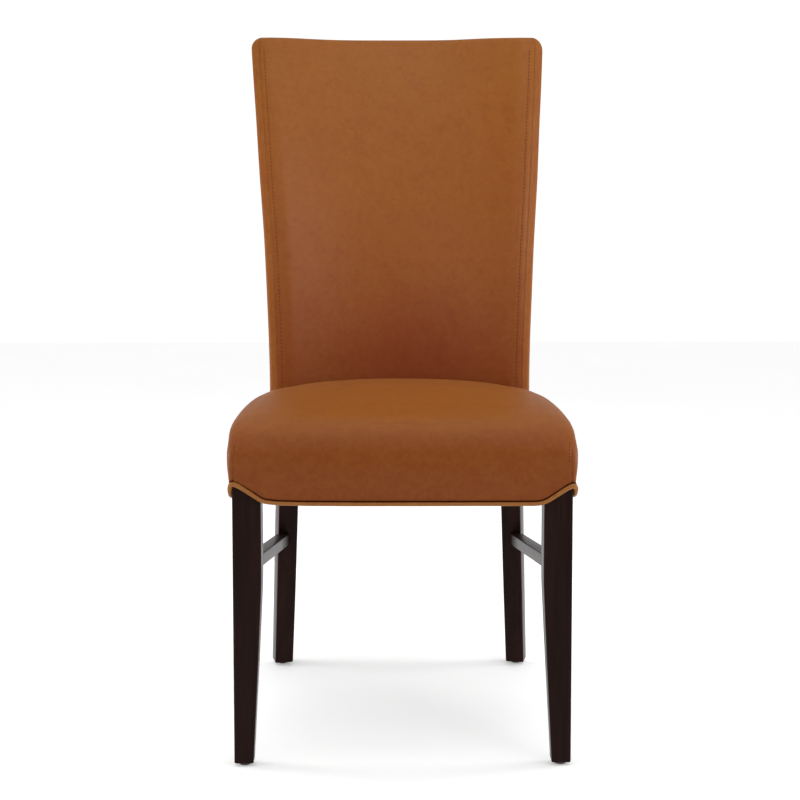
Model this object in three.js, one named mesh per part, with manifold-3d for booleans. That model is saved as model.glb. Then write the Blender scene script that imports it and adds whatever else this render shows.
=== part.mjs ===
// Parsons dining chair: hardwood frame with tapered front legs, swept rear
// posts and side stretchers, webbed and foam-filled seat and back, leather
// covers with a piped lower edge.
//
// Millimetres, +Z up, the chair faces -Y, +X is to the right seen from the
// front. Inside this file Y = 0 lies under the centres of the front feet; the
// exported group is moved so that the origin is on the floor, under the middle
// of the chair.
import * as THREE from "three";
import { mergeVertices } from "three/addons/utils/BufferGeometryUtils.js";
import Module from "manifold-3d";

const wasm = await Module();
wasm.setup();

// ---------------------------------------------------------------- dimensions
const HEIGHT = 1008; // floor to the top of the back
const GAP = 0.3; // clearance between pieces that touch
const LEATHER = 1.6; // thickness of the covers

// front legs
const LEG_OUT = 221.6; // outer face at the top, from the centre plane
const LEG_SPLAY = 1.3; // the outer face stands this much further out at the floor
const LEG_W = 37.2; // square above the taper
const LEG_FRONT = -12.5; // front face
const LEG_FOOT = 24.5; // square at the floor
const LEG_TAPER = [
  // height, how much the inner and rear faces have come in
  [4, 13],
  [215, 1.7],
  [246, 0.35],
  [274, 0],
];
const FRAME_TOP = 420; // top of the legs and seat rails
const RAIL_BOTTOM = 356.2;
const RAIL_T = 22;
const GLIDE_H = 4;
const GLIDE_R = 9.5;
const FOOT_X = 209.7;

// rear posts: height, width across the front face, depth, yaw in degrees
const POST_SIZE = [
  [4, 29, 31, 13],
  [131, 30, 34.5, 13],
  [268, 30.4, 38, 13],
  [353, 30.4, 38, 13.5],
  [457, 30, 38, 16.3],
  [600, 28.5, 35.5, 17.1],
  [800, 26, 31.5, 18.7],
  [986, 24, 27, 19.7],
];
const POST_TOP = 986;
// centre of the post below the upholstery: height, x, y
const POST_LOW = [
  [4, 190.6, 485.5],
  [131, 184.4, 456],
  [268, 178.7, 433.5],
  [353, 175.4, 428.5],
];

// upholstered back: height, half width
const BACK_W = [
  [353, 204],
  [420, 201.6],
  [457, 200.9],
  [503, 201.7],
  [549, 203.4],
  [595, 205.6],
  [641, 207.9],
  [688, 210.6],
  [734, 214.0],
  [781, 217.6],
  [829, 220.8],
  [876, 223.9],
  [924, 227.4],
  [973, 230.8],
  [1008, 233.0],
];
// y of the front surface at its side edges
const BACK_Y = [
  [353, 386],
  [420, 384.5],
  [457, 385.5],
  [503, 391.6],
  [549, 399.6],
  [641, 418.2],
  [734, 440.2],
  [829, 466.2],
  [924, 495.4],
  [1008, 524],
];
const BACK_SAG = 49; // how far the middle lies behind the edges, at the top
const BACK_CORNER = 17; // radius of the top corners
const BACK_TOP_DIP = 1.6; // the top edge is this much lower in the middle
const GUSSET_LAP = 17; // the side gusset laps this far onto the front
const FOAM_BACK = 13.4; // depth of the foam's rear face behind the leather

// seat
const RIM_Z = 353; // lower edge of the leather
const RIM_NOTCH = 380.5; // its height over the front corners
const NOTCH_REACH = 48; // how far along each side the notch runs
const RIM_X = 225;
const RIM_Y = -15.5;
const SEAT_HALF = [
  // y, half width of the cover at its lower edge
  [-16, 225],
  [40, 225],
  [100, 222.6],
  [200, 216.8],
  [300, 209.8],
  [386, 203.4],
];
const SEAT_BULGE = [
  // y, how far the side stands proud of its lower edge at the widest
  [-16, 4.4],
  [40, 5.2],
  [120, 5.8],
  [250, 5],
  [340, 2.6],
  [386, 0],
];
const SEAT_WIDEST = 418; // height of the widest part of the sides
const SEAT_ROLL = 25; // how far the rounded upper edge reaches inwards
const SEAT_EDGE = [
  // y, height of the top along its sides
  [-16, 438],
  [0, 446],
  [40, 457],
  [80, 462],
  [120, 465],
  [160, 466.6],
  [200, 467],
  [260, 465],
  [320, 462],
  [386, 456.5],
];
const SEAT_MID = [
  // y, height along the centre line
  [-16, 447],
  [0, 452.5],
  [30, 462],
  [80, 470.5],
  [150, 477],
  [230, 480],
  [300, 479.6],
  [380, 476.3],
  [425, 473],
];
const WELT_R = 2.3;

// webbing
const WEB_W = 50;
const WEB_T = 1.5;

// ------------------------------------------------------------------ helpers
// Smooth curve through a table of [at, value]; straight on beyond its ends.
function curve(table) {
  const n = table.length;
  const m = table.map((p, i) => {
    if (i === 0)
      return (table[1][1] - table[0][1]) / (table[1][0] - table[0][0]);
    if (i === n - 1)
      return (
        (table[n - 1][1] - table[n - 2][1]) / (table[n - 1][0] - table[n - 2][0])
      );
    const a = (p[1] - table[i - 1][1]) / (p[0] - table[i - 1][0]);
    const b = (table[i + 1][1] - p[1]) / (table[i + 1][0] - p[0]);
    return a * b <= 0 ? 0 : (a + b) / 2;
  });
  return (x) => {
    if (x <= table[0][0]) return table[0][1];
    if (x >= table[n - 1][0]) return table[n - 1][1];
    let i = 0;
    while (x > table[i + 1][0]) i++;
    const h = table[i + 1][0] - table[i][0];
    const t = (x - table[i][0]) / h;
    return (
      (2 * t ** 3 - 3 * t ** 2 + 1) * table[i][1] +
      (t ** 3 - 2 * t ** 2 + t) * h * m[i] +
      (-2 * t ** 3 + 3 * t ** 2) * table[i + 1][1] +
      (t ** 3 - t ** 2) * h * m[i + 1]
    );
  };
}

const V = (x, y, z) => new THREE.Vector3(x, y, z);
const column = (table, k) => table.map((r) => [r[0], r[k]]);

// Closed surface from vertices and triangles, turned so that it faces out.
function closed(points, tris) {
  let vol = 0;
  const c = V(0, 0, 0);
  for (const [a, b, d] of tris)
    vol += points[a].dot(c.crossVectors(points[b], points[d]));
  const out = vol < 0 ? tris.map(([a, b, d]) => [a, d, b]) : tris;
  const g = new THREE.BufferGeometry();
  g.setAttribute(
    "position",
    new THREE.Float32BufferAttribute(
      points.flatMap((p) => [p.x, p.y, p.z]),
      3,
    ),
  );
  g.setIndex(out.flat());
  return g;
}

// Rings of equal length joined one to the next. Each end is capped flat, or
// drawn to a point if one is given; a loop joins its last ring to its first.
function loft(rings, { start, end, loop } = {}) {
  const n = rings[0].length;
  const points = rings.flat();
  const tris = [];
  const joins = loop ? rings.length : rings.length - 1;
  for (let i = 0; i < joins; i++)
    for (let j = 0; j < n; j++) {
      const k = (j + 1) % n;
      const a = i * n + j;
      const b = i * n + k;
      const c = ((i + 1) % rings.length) * n + k;
      const d = ((i + 1) % rings.length) * n + j;
      tris.push([a, b, c], [a, c, d]);
    }
  if (!loop) {
    const cap = (i, pole, back) => {
      const base = i * n;
      if (pole) {
        points.push(pole);
        const p = points.length - 1;
        for (let j = 0; j < n; j++) {
          const k = (j + 1) % n;
          tris.push(back ? [p, base + k, base + j] : [p, base + j, base + k]);
        }
        return;
      }
      const ring = rings[i];
      // project on the plane that the ring fills best
      const normal = V(0, 0, 0);
      for (let j = 0; j < n; j++)
        normal.add(V(0, 0, 0).crossVectors(ring[j], ring[(j + 1) % n]));
      const big = Math.max(...normal.toArray().map(Math.abs));
      const [u, v] =
        Math.abs(normal.z) === big
          ? ["x", "y"]
          : Math.abs(normal.y) === big
            ? ["z", "x"]
            : ["y", "z"];
      const flat = ring.map((p) => new THREE.Vector2(p[u], p[v]));
      const turn = THREE.ShapeUtils.area(flat) > 0 ? 1 : -1;
      for (const [a, b, c] of THREE.ShapeUtils.triangulateShape(flat, [])) {
        const s =
          THREE.ShapeUtils.area([flat[a], flat[b], flat[c]]) > 0 ? 1 : -1;
        const t = s === turn ? [a, b, c] : [a, c, b];
        tris.push(
          (back ? [t[0], t[2], t[1]] : t).map((q) => base + q),
        );
      }
    };
    cap(0, start, true);
    cap(rings.length - 1, end, false);
  }
  return closed(points, tris);
}

function toSolid(geometry) {
  const g = geometry.clone();
  g.deleteAttribute("normal");
  g.deleteAttribute("uv");
  const m = mergeVertices(g, 1e-4);
  return new wasm.Manifold(
    new wasm.Mesh({
      numProp: 3,
      vertProperties: new Float32Array(m.attributes.position.array),
      triVerts: new Uint32Array(m.index.array),
    }),
  );
}

function toGeometry(solid) {
  const mesh = solid.getMesh();
  const g = new THREE.BufferGeometry();
  g.setAttribute(
    "position",
    new THREE.Float32BufferAttribute(Array.from(mesh.vertProperties), 3),
  );
  g.setIndex(Array.from(mesh.triVerts));
  return g;
}

const box = (x0, x1, y0, y1, z0, z1) =>
  new THREE.BoxGeometry(x1 - x0, y1 - y0, z1 - z0).translate(
    (x0 + x1) / 2,
    (y0 + y1) / 2,
    (z0 + z1) / 2,
  );

// Upright prism on a plan outline.
function prism(outline, z0, z1) {
  const shape = new THREE.Shape(
    outline.map(([x, y]) => new THREE.Vector2(x, y)),
  );
  return new THREE.ExtrudeGeometry(shape, {
    depth: z1 - z0,
    bevelEnabled: false,
  }).translate(0, 0, z0);
}

// Round bar from a to b.
function bar(a, b, r, sides = 8) {
  const along = b.clone().sub(a);
  const g = new THREE.CylinderGeometry(r, r, along.length(), sides);
  g.applyQuaternion(
    new THREE.Quaternion().setFromUnitVectors(
      V(0, 1, 0),
      along.clone().normalize(),
    ),
  );
  return g.translate(...a.clone().add(b).multiplyScalar(0.5).toArray());
}

function mirrored(geometry) {
  const g = geometry.index ? geometry.toNonIndexed() : geometry.clone();
  g.deleteAttribute("normal");
  g.deleteAttribute("uv");
  const p = g.attributes.position.array;
  for (let i = 0; i < p.length; i += 9)
    for (let k = 0; k < 3; k++) {
      const t = p[i + 3 + k];
      p[i + 3 + k] = p[i + 6 + k];
      p[i + 6 + k] = t;
    }
  for (let i = 0; i < p.length; i += 3) p[i] = -p[i];
  return mergeVertices(g, 1e-4);
}

const cut = (geometry, ...others) =>
  toGeometry(
    others.reduce((s, o) => s.subtract(toSolid(o)), toSolid(geometry)),
  );
const join = (...parts) =>
  toGeometry(
    parts.slice(1).reduce((s, o) => s.add(toSolid(o)), toSolid(parts[0])),
  );

// ---------------------------------------------------------------- materials
const material = (color, roughness, metalness = 0) =>
  new THREE.MeshStandardMaterial({ color, roughness, metalness });
const LACQUERED_WOOD = material(0x2a1b18, 0.28);
const BARE_WOOD = material(0xc9a677, 0.75);
const PLYWOOD = material(0xb99468, 0.8);
const HIDE = material(0x965a2d, 0.42);
const PIPING = material(0x96602f, 0.45);
const FOAM = material(0xe6dcc0, 0.95);
const WADDING = material(0xf0eeea, 1.0);
const WEBBING = material(0x55504a, 0.9);
const CLOTH = material(0x161616, 0.95);
const STEEL = material(0xa9a9a6, 0.4, 1.0);
const NYLON = material(0x1c1a19, 0.5);

// -------------------------------------------------------------------- group
const chair = new THREE.Group();
const frame = new THREE.Group();
const seat = new THREE.Group();
const back = new THREE.Group();
const feet = new THREE.Group();
chair.add(frame, seat, back, feet);

// Adds a mesh whose own origin is at `anchor`.
function add(group, name, geometry, surface, anchor = [0, 0, 0]) {
  const g = geometry.index ? geometry.toNonIndexed() : geometry.clone();
  g.translate(-anchor[0], -anchor[1], -anchor[2]);
  g.computeVertexNormals();
  const mesh = new THREE.Mesh(g, surface);
  mesh.name = name;
  mesh.position.set(...anchor);
  group.add(mesh);
  return mesh;
}

// Adds a right-hand piece and its mirror image.
function addPair(group, name, geometry, surface, anchor = [0, 0, 0]) {
  add(group, name + "_right", geometry, surface, anchor);
  add(group, name + "_left", mirrored(geometry), surface, [
    -anchor[0],
    anchor[1],
    anchor[2],
  ]);
}

// ------------------------------------------------------- shapes of the back
const backW = curve(BACK_W);
const backEdgeY = curve(BACK_Y);
const W_TOP = backW(HEIGHT);
const backFront = (x, z) => {
  const w = backW(z);
  const sag = BACK_SAG * (w / W_TOP) ** 2;
  return backEdgeY(z) + sag * (1 - (x / w) ** 2);
};

const postW = curve(column(POST_SIZE, 1));
const postD = curve(column(POST_SIZE, 2));
const postYaw = curve(POST_SIZE.map((r) => [r[0], (r[3] * Math.PI) / 180]));
// thickness of the upholstered back, leather to leather
const backT = (z) => postD(z) / Math.cos(postYaw(z)) + 21.2;

const postPath = [
  ...POST_LOW,
  ...[457, 520, 600, 700, 800, 900, POST_TOP].map((z) => {
    const [w, d, a] = [postW(z), postD(z), postYaw(z)];
    const x =
      backW(z) - 11.5 - (w / 2) * Math.cos(a) - (d / 2) * Math.sin(a);
    const face = x - (d / 2) * Math.sin(a);
    return [z, x, backFront(face, z) + 14.6 + (d / 2) * Math.cos(a)];
  }),
];
const postX = curve(column(postPath, 1));
const postY = curve(column(postPath, 2));

// Corner points of the right-hand post at one height, `grow` larger all round;
// each corner is chamfered by `c`.
function postRing(z, grow = 0, c = 1.4) {
  const [x, y, a] = [postX(z), postY(z), postYaw(z)];
  const w = postW(z) / 2 + grow;
  const d = postD(z) / 2 + grow;
  const at = (u, v) =>
    V(
      x + u * Math.cos(a) + v * Math.sin(a),
      y - u * Math.sin(a) + v * Math.cos(a),
      z,
    );
  return [
    at(-w + c, -d),
    at(w - c, -d),
    at(w, -d + c),
    at(w, d - c),
    at(w - c, d),
    at(-w + c, d),
    at(-w, d - c),
    at(-w, -d + c),
  ];
}
const POST_LEVELS = [
  6, 66, 131, 200, 268, 330, 392, 457, 520, 600, 700, 800, 900, POST_TOP,
];
// `foot` ends the post in a small chamfer at the floor
const postSolid = (grow = 0) => {
  const rings = POST_LEVELS.map((z) => postRing(z, grow));
  if (!grow) {
    const low = postRing(GLIDE_H, -1.6, 1);
    rings.unshift(low);
  }
  return loft(rings);
};
const postBig = postSolid(GAP);

// ------------------------------------------------------------- front legs
const LEG_IN = LEG_OUT - LEG_W;
const taper = curve(LEG_TAPER);
function legRing(z, grow = 0, c = 1.4) {
  const t = taper(z);
  const x0 = LEG_OUT - LEG_W + t - grow;
  const x1 = LEG_OUT + LEG_SPLAY * (1 - z / FRAME_TOP) + grow;
  const y0 = LEG_FRONT - grow;
  const y1 = LEG_FRONT + LEG_W - t + grow;
  return [
    V(x0 + c, y0, z),
    V(x1 - c, y0, z),
    V(x1, y0 + c, z),
    V(x1, y1 - c, z),
    V(x1 - c, y1, z),
    V(x0 + c, y1, z),
    V(x0, y1 - c, z),
    V(x0, y0 + c, z),
  ];
}
const LEG_REAR = LEG_FRONT + LEG_W;
const legSolid = () =>
  loft([
    legRing(GLIDE_H, -1.8, 1),
    legRing(GLIDE_H + 2.2),
    legRing(110),
    legRing(215),
    legRing(246),
    legRing(274),
    legRing(FRAME_TOP),
  ]);
const legBig = box(
  LEG_IN - GAP,
  LEG_OUT + GAP,
  LEG_FRONT - GAP,
  LEG_REAR + GAP,
  300,
  FRAME_TOP + GAP,
);

// ------------------------------------------------------------ side stretcher
// 21 wide and 18 high, falling towards the rear; its outer face is flush with
// the outer faces of the leg and the post.
const STRETCHER = { w: 21, h: 18, xf: 199.8, zf: 251, xr: 174.3, zr: 209 };
const postFaceY = (x, z) =>
  postY(z) -
  postD(z) / 2 / Math.cos(postYaw(z)) -
  (x - postX(z)) * Math.tan(postYaw(z));
function stretcherRing(t, inset, push) {
  const { w, h, xf, zf, xr, zr } = STRETCHER;
  const x = xf + (xr - xf) * t;
  const z = zf + (zr - zf) * t;
  return [
    [x + inset, z + inset],
    [x + w - inset, z + inset],
    [x + w - inset, z + h - inset],
    [x + inset, z + h - inset],
  ].map(([px, pz]) =>
    V(
      px,
      t === 0 ? LEG_REAR + push : postFaceY(px, pz) + push,
      pz,
    ),
  );
}
// the line of the stretcher carried on into the leg or the post
function tenon(t, inset, length) {
  const { xf, zf, xr, zr } = STRETCHER;
  const run = 418 - LEG_REAR;
  const sx = (xr - xf) / run;
  const sz = (zr - zf) / run;
  const step = t === 0 ? -length : length;
  const a = stretcherRing(t, inset, t === 0 ? 2 : -2);
  const b = a.map((p) => V(p.x + sx * step, p.y + step, p.z + sz * step));
  return loft(t === 0 ? [b, a] : [a, b]);
}
const stretcher = join(
  loft([stretcherRing(0, 0, GAP), stretcherRing(1, 0, -GAP)]),
  tenon(0, 4.5, 15),
  tenon(1, 4.5, 15),
);
const stretcherMortises = [tenon(0, 4.2, 15.6), tenon(1, 4.2, 15.6)];

// -------------------------------------------------------------------- rails
const RAIL_FRONT = LEG_FRONT + 6;
const RAIL_Z0 = RAIL_BOTTOM;
const TENON_Z0 = 366;
const TENON_Z1 = 411;
// a tenon and the mortise that takes it
const grown = (x0, x1, y0, y1, g) =>
  box(x0 - g, x1 + g, y0 - g, y1 + g, TENON_Z0 - g, TENON_Z1 + g);

const frontTenon = (g) =>
  grown(LEG_IN - 4, LEG_IN + 17, RAIL_FRONT + 6, RAIL_FRONT + 15, g);
const frontRail = join(
  box(
    -LEG_IN + GAP,
    LEG_IN - GAP,
    RAIL_FRONT,
    RAIL_FRONT + RAIL_T,
    RAIL_Z0,
    FRAME_TOP,
  ),
  frontTenon(0),
  mirrored(frontTenon(0)),
);

const SIDE_F = 216; // outer face of the side rail at the leg
const SIDE_R = 188.6; // and at the post
const sideFrontTenon = (g) =>
  grown(SIDE_F - 10.5, SIDE_F - 2.5, LEG_REAR - 16, LEG_REAR + 4, g);
const sideRearTenon = (g) => {
  const y = postFaceY(178, 390);
  return prism(
    [
      [174.6 - g, y - 6],
      [182.6 + g, y - 6],
      [181.2 + g, y + 15 + g],
      [173.2 - g, y + 15 + g],
    ],
    TENON_Z0 - g,
    TENON_Z1 + g,
  );
};
// Outer face of the side rail at a given y.
const sideOuter = (y) =>
  SIDE_F + ((SIDE_R - SIDE_F) * (y - LEG_REAR)) / (410 - LEG_REAR);
const sideRail = join(
  cut(
    prism(
      [
        [sideOuter(LEG_REAR) - RAIL_T, LEG_REAR + GAP],
        [sideOuter(LEG_REAR), LEG_REAR + GAP],
        [sideOuter(420), 420],
        [sideOuter(420) - RAIL_T, 420],
      ],
      RAIL_Z0,
      FRAME_TOP,
    ),
    postBig,
  ),
  sideFrontTenon(0),
  sideRearTenon(0),
);

// Slab that follows the curve of the back: half width hw(z), between depths
// d0 and d1 behind the front leather.
function backSlab(levels, hw, d0, d1, columns = 8, x0 = null) {
  return loft(
    levels.map((z) => {
      const a = x0 === null ? -hw(z) : x0 - hw(z);
      const b = x0 === null ? hw(z) : x0 + hw(z);
      const xs = Array.from(
        { length: columns + 1 },
        (_, i) => a + ((b - a) * i) / columns,
      );
      return [
        ...xs.map((x) => V(x, backFront(x, z) + d0(x, z), z)),
        ...xs.reverse().map((x) => V(x, backFront(x, z) + d1(x, z), z)),
      ];
    }),
  );
}
const level = (a, b, n) =>
  Array.from({ length: n + 1 }, (_, i) => a + ((b - a) * i) / n);
const flat = (v) => () => v;

// Curved rail between the posts, with a tenon into each.
const RAIL_DEPTH = 17;
function crossRail(z0, z1, thick) {
  const body = cut(
    backSlab(
      level(z0, z1, 1),
      (z) => postX(z) - 4,
      flat(RAIL_DEPTH),
      flat(RAIL_DEPTH + thick),
      8,
    ),
    postBig,
    mirrored(postBig),
  );
  return body;
}
function crossTenon(z0, z1, thick, g) {
  const zm = (z0 + z1) / 2;
  const x = postX(zm) - postW(zm) / 2;
  const y = backFront(x, zm) + RAIL_DEPTH + thick / 2;
  const lean = (backFront(x, z1) - backFront(x, z0)) / (z1 - z0);
  const ring = (z) => {
    const dy = lean * (z - zm);
    return [
      V(x - 8, y + dy - 4.5 - g, z),
      V(x + 13 + g, y + dy - 4.5 - g, z),
      V(x + 13 + g, y + dy + 4.5 + g, z),
      V(x - 8, y + dy + 4.5 + g, z),
    ];
  };
  return loft([ring(z0 + 8 - g), ring(z1 - 8 + g)]);
}
const CROSS = {
  rear_rail: [RAIL_Z0, FRAME_TOP, 22],
  lower_back_rail: [498, 545, 20],
  crest_rail: [940, 986, 22],
};

// ----------------------------------------------------------- corner blocks
const BLOCK_Z0 = 378;
const BLOCK_Z1 = 408;
const railInner = RAIL_FRONT + RAIL_T + GAP;
const sideInner = (y) => sideOuter(y) - RAIL_T - GAP * 1.2;
const frontBlock = prism(
  [
    [142, railInner],
    [LEG_IN - GAP, railInner],
    [LEG_IN - GAP, LEG_REAR + GAP],
    [sideInner(LEG_REAR) - 0.1, LEG_REAR + GAP],
    [sideInner(70), 70],
    [sideInner(70) - 10, 70],
    [142, railInner + 9],
  ],
  BLOCK_Z0,
  BLOCK_Z1,
);
// The rear block is fitted between the side rail, the post and the rear rail.
const rearBlock = (() => {
  const zs = [BLOCK_Z0, BLOCK_Z1];
  const z = 392;
  const front = (x) =>
    Math.min(...zs.map((q) => backFront(x, q))) + RAIL_DEPTH - GAP * 1.4;
  const body = prism(
    [
      [116, front(116)],
      [116, front(116) - 9],
      [sideInner(356) - 10, 356],
      [sideInner(356), 356],
      [sideInner(front(150)), front(150)],
      [140, front(140)],
    ],
    BLOCK_Z0,
    BLOCK_Z1,
  );
  return cut(
    body,
    loft(POST_LEVELS.slice(5, 9).map((q) => postRing(q, GAP * 1.4, 1))),
    backSlab(
      [BLOCK_Z0 - 10, BLOCK_Z1 + 10],
      flat(170),
      flat(RAIL_DEPTH - GAP * 2),
      flat(RAIL_DEPTH + 30),
      12,
    ),
  );
})();

// Wood screw along the line from `head` to `tip`.
const SCREW_R = 2;
function screw(head, tip) {
  const length = head.distanceTo(tip);
  const g = new THREE.LatheGeometry(
    [
      [0, 0],
      [0.4, 2.5],
      [SCREW_R, 7],
      [SCREW_R, length - 3.4],
      [4, length - 1],
      [4, length],
      [1, length],
      [0.9, length - 1.2],
      [0, length - 1.2],
    ].map(([x, y]) => new THREE.Vector2(x, y)),
    8,
  );
  g.applyQuaternion(
    new THREE.Quaternion().setFromUnitVectors(
      V(0, 1, 0),
      head.clone().sub(tip).normalize(),
    ),
  );
  return g.translate(tip.x, tip.y, tip.z);
}
// its pilot hole, with the counterbore that sinks the head below the face
function pilot(head, tip) {
  const out = head.clone().sub(tip).normalize();
  const shank = bar(
    tip.clone().addScaledVector(out, -0.6),
    head.clone().addScaledVector(out, -0.5),
    SCREW_R + GAP,
  );
  const mouth = bar(
    head.clone().addScaledVector(out, -4),
    head.clone().addScaledVector(out, 40),
    4 + GAP * 1.6,
  );
  return join(shank, mouth);
}
const sideLean = Math.atan2(SIDE_F - SIDE_R, 410 - LEG_REAR);
const sideNormal = V(Math.cos(sideLean), Math.sin(sideLean), 0);
const SCREWS = {
  front_block_screw_a: [V(160, 30, 393), V(160, 1, 393)],
  front_block_screw_b: (() => {
    const at = V(sideInner(54), 54, 393);
    return [
      at.clone().addScaledVector(sideNormal, -11),
      at.clone().addScaledVector(sideNormal, 17),
    ];
  })(),
  rear_block_screw_a: (() => {
    const y = backFront(130, 393) + RAIL_DEPTH;
    return [V(130, y - 10, 393), V(130, y + 17, 393)];
  })(),
  rear_block_screw_b: (() => {
    const at = V(sideInner(372), 372, 393);
    return [
      at.clone().addScaledVector(sideNormal, -11),
      at.clone().addScaledVector(sideNormal, 17),
    ];
  })(),
};
const holes = Object.fromEntries(
  Object.entries(SCREWS).map(([k, [a, b]]) => [k, pilot(a, b)]),
);

// ---------------------------------------------------------------- glides
function glide(x, y) {
  return new THREE.LatheGeometry(
    [
      [0, 0],
      [5.2, 0],
      [7.6, 0.7],
      [9, 2],
      [GLIDE_R, GLIDE_H - GAP],
      [1.3, GLIDE_H - GAP],
      [1.3, 17],
      [0, 19],
    ].map(([r, z]) => new THREE.Vector2(r, z)),
    16,
  )
    .rotateX(Math.PI / 2)
    .translate(x, y, 0);
}
const nailHole = (x, y) => bar(V(x, y, 1), V(x, y, 20), 1.7);
const REAR_FOOT = [postX(4), postY(4)];

// ------------------------------------------------------------ frame pieces
addPair(
  frame,
  "front_leg",
  cut(
    legSolid(),
    frontTenon(GAP),
    sideFrontTenon(GAP),
    stretcherMortises[0],
    nailHole(FOOT_X, 0),
  ),
  LACQUERED_WOOD,
  [LEG_OUT - LEG_W / 2, LEG_FRONT + LEG_W / 2, 0],
);
addPair(
  frame,
  "rear_post",
  cut(
    postSolid(),
    sideRearTenon(GAP),
    stretcherMortises[1],
    ...Object.values(CROSS).map(([a, b, t]) => crossTenon(a, b, t, GAP)),
    nailHole(...REAR_FOOT),
  ),
  LACQUERED_WOOD,
  [REAR_FOOT[0], REAR_FOOT[1], 0],
);
addPair(frame, "side_stretcher", stretcher, LACQUERED_WOOD, [
  200,
  LEG_REAR,
  255,
]);
add(
  frame,
  "front_rail",
  cut(frontRail, holes.front_block_screw_a, mirrored(holes.front_block_screw_a)),
  BARE_WOOD,
  [0, RAIL_FRONT + RAIL_T / 2, RAIL_Z0],
);
addPair(
  frame,
  "side_rail",
  cut(sideRail, holes.front_block_screw_b, holes.rear_block_screw_b),
  BARE_WOOD,
  [200, 220, RAIL_Z0],
);
for (const [name, [z0, z1, thick]] of Object.entries(CROSS)) {
  let g = join(
    crossRail(z0, z1, thick),
    crossTenon(z0, z1, thick, 0),
    mirrored(crossTenon(z0, z1, thick, 0)),
  );
  if (name === "rear_rail")
    g = cut(g, holes.rear_block_screw_a, mirrored(holes.rear_block_screw_a));
  add(frame, name, g, BARE_WOOD, [0, backFront(0, z0), z0]);
}
addPair(
  frame,
  "front_corner_block",
  cut(frontBlock, holes.front_block_screw_a, holes.front_block_screw_b),
  BARE_WOOD,
  [165, 35, BLOCK_Z0],
);
addPair(
  frame,
  "rear_corner_block",
  cut(rearBlock, holes.rear_block_screw_a, holes.rear_block_screw_b),
  BARE_WOOD,
  [150, 390, BLOCK_Z0],
);
for (const [name, [head, tip]] of Object.entries(SCREWS))
  addPair(frame, name, screw(head, tip), STEEL, head.toArray());

for (const [name, x, y] of [
  ["front_glide", FOOT_X, 0],
  ["rear_glide", ...REAR_FOOT],
])
  addPair(feet, name, glide(x, y), NYLON, [x, y, 0]);

// ----------------------------------------------------------------- seat
const seatHalf = curve(SEAT_HALF);
const seatBulge = curve(SEAT_BULGE);
const seatEdge = curve(SEAT_EDGE);
const seatMid = curve(SEAT_MID);

// Plan outline of the seat, counter-clockwise from the left end of the front
// edge. `out` moves it outwards in step with the bulge of the side (0 to 1),
// `inset` moves it inwards, `r` is the radius of the front corners.
function seatOutline(z, out, inset, r) {
  const pts = [];
  const rearR = Math.min(10 + inset * 0.4, 60);
  const y0 = RIM_Y - out * 5 + inset;
  const side = (y) => seatHalf(y) + out * seatBulge(y) - inset;
  const face = (x) =>
    Math.min(backFront(x, 420), backFront(x, Math.min(z, 470)));
  // the rear edge stands close against the back, so it is rounded less
  const tuck = inset < SEAT_ROLL ? inset * 0.3 : inset - SEAT_ROLL * 0.7;
  const rearY = (x) => face(x) - 1 - tuck;
  const xf = side(RIM_Y);
  const front = (u) => V(u * (xf - r), y0, z);
  for (let i = 0; i < 8; i++) pts.push(front(-1 + i / 4));
  for (let i = 0; i < 4; i++) {
    const a = (i / 4) * (Math.PI / 2);
    pts.push(
      V(xf - r + r * Math.sin(a), y0 + r - r * Math.cos(a), z),
    );
  }
  const yEnd = face(side(386)) - 1 - tuck - rearR;
  for (let i = 0; i < 8; i++) {
    const y = y0 + r + ((yEnd - y0 - r) * i) / 8;
    pts.push(V(side(y), y, z));
  }
  const xs = side(yEnd);
  for (let i = 0; i < 3; i++) {
    const a = (i / 3) * (Math.PI / 2);
    const x = xs - rearR + rearR * Math.cos(a);
    pts.push(
      V(x, rearY(xs - rearR) - rearR + rearR * Math.sin(a), z),
    );
  }
  for (let i = 0; i < 4; i++) {
    const x = (xs - rearR) * (1 - i / 4);
    pts.push(V(x, rearY(x), z));
  }
  pts.push(V(0, rearY(0), z));
  // the left half mirrors the right
  const right = pts.slice(4, pts.length - 1);
  const left = right
    .slice(1)
    .reverse()
    .map((p) => V(-p.x, p.y, p.z));
  return [...right, pts[pts.length - 1], ...left];
}

// Height of the leather's lower edge: it climbs to a peak over each front leg.
function rim(p) {
  const away = Math.max(RIM_X - Math.abs(p.x), p.y - RIM_Y);
  const near = p.y < 120 ? Math.max(0, 1 - away / NOTCH_REACH) : 0;
  return RIM_Z + (RIM_NOTCH - RIM_Z) * near;
}
// at the rear the leather is tucked in between the foam and the back, above
// the rails and the webbing
const TUCK_Z = 424.8;
function rimAt(p, index, count) {
  const far = Math.abs(index - count / 2); // 0 at the middle of the rear edge
  const lift = far <= 4 ? 1 : far >= 7 ? 0 : (7 - far) / 3;
  return Math.max(rim(p), RIM_Z + (TUCK_Z - RIM_Z) * lift);
}
const topZ = (p) => {
  const y = p.y;
  const half = seatHalf(y) + 2;
  const u = Math.min(1, Math.abs(p.x) / half);
  const e = seatEdge(y) + 1.5;
  return e + (seatMid(y) - e) * (1 - u ** 2.4);
};
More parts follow.
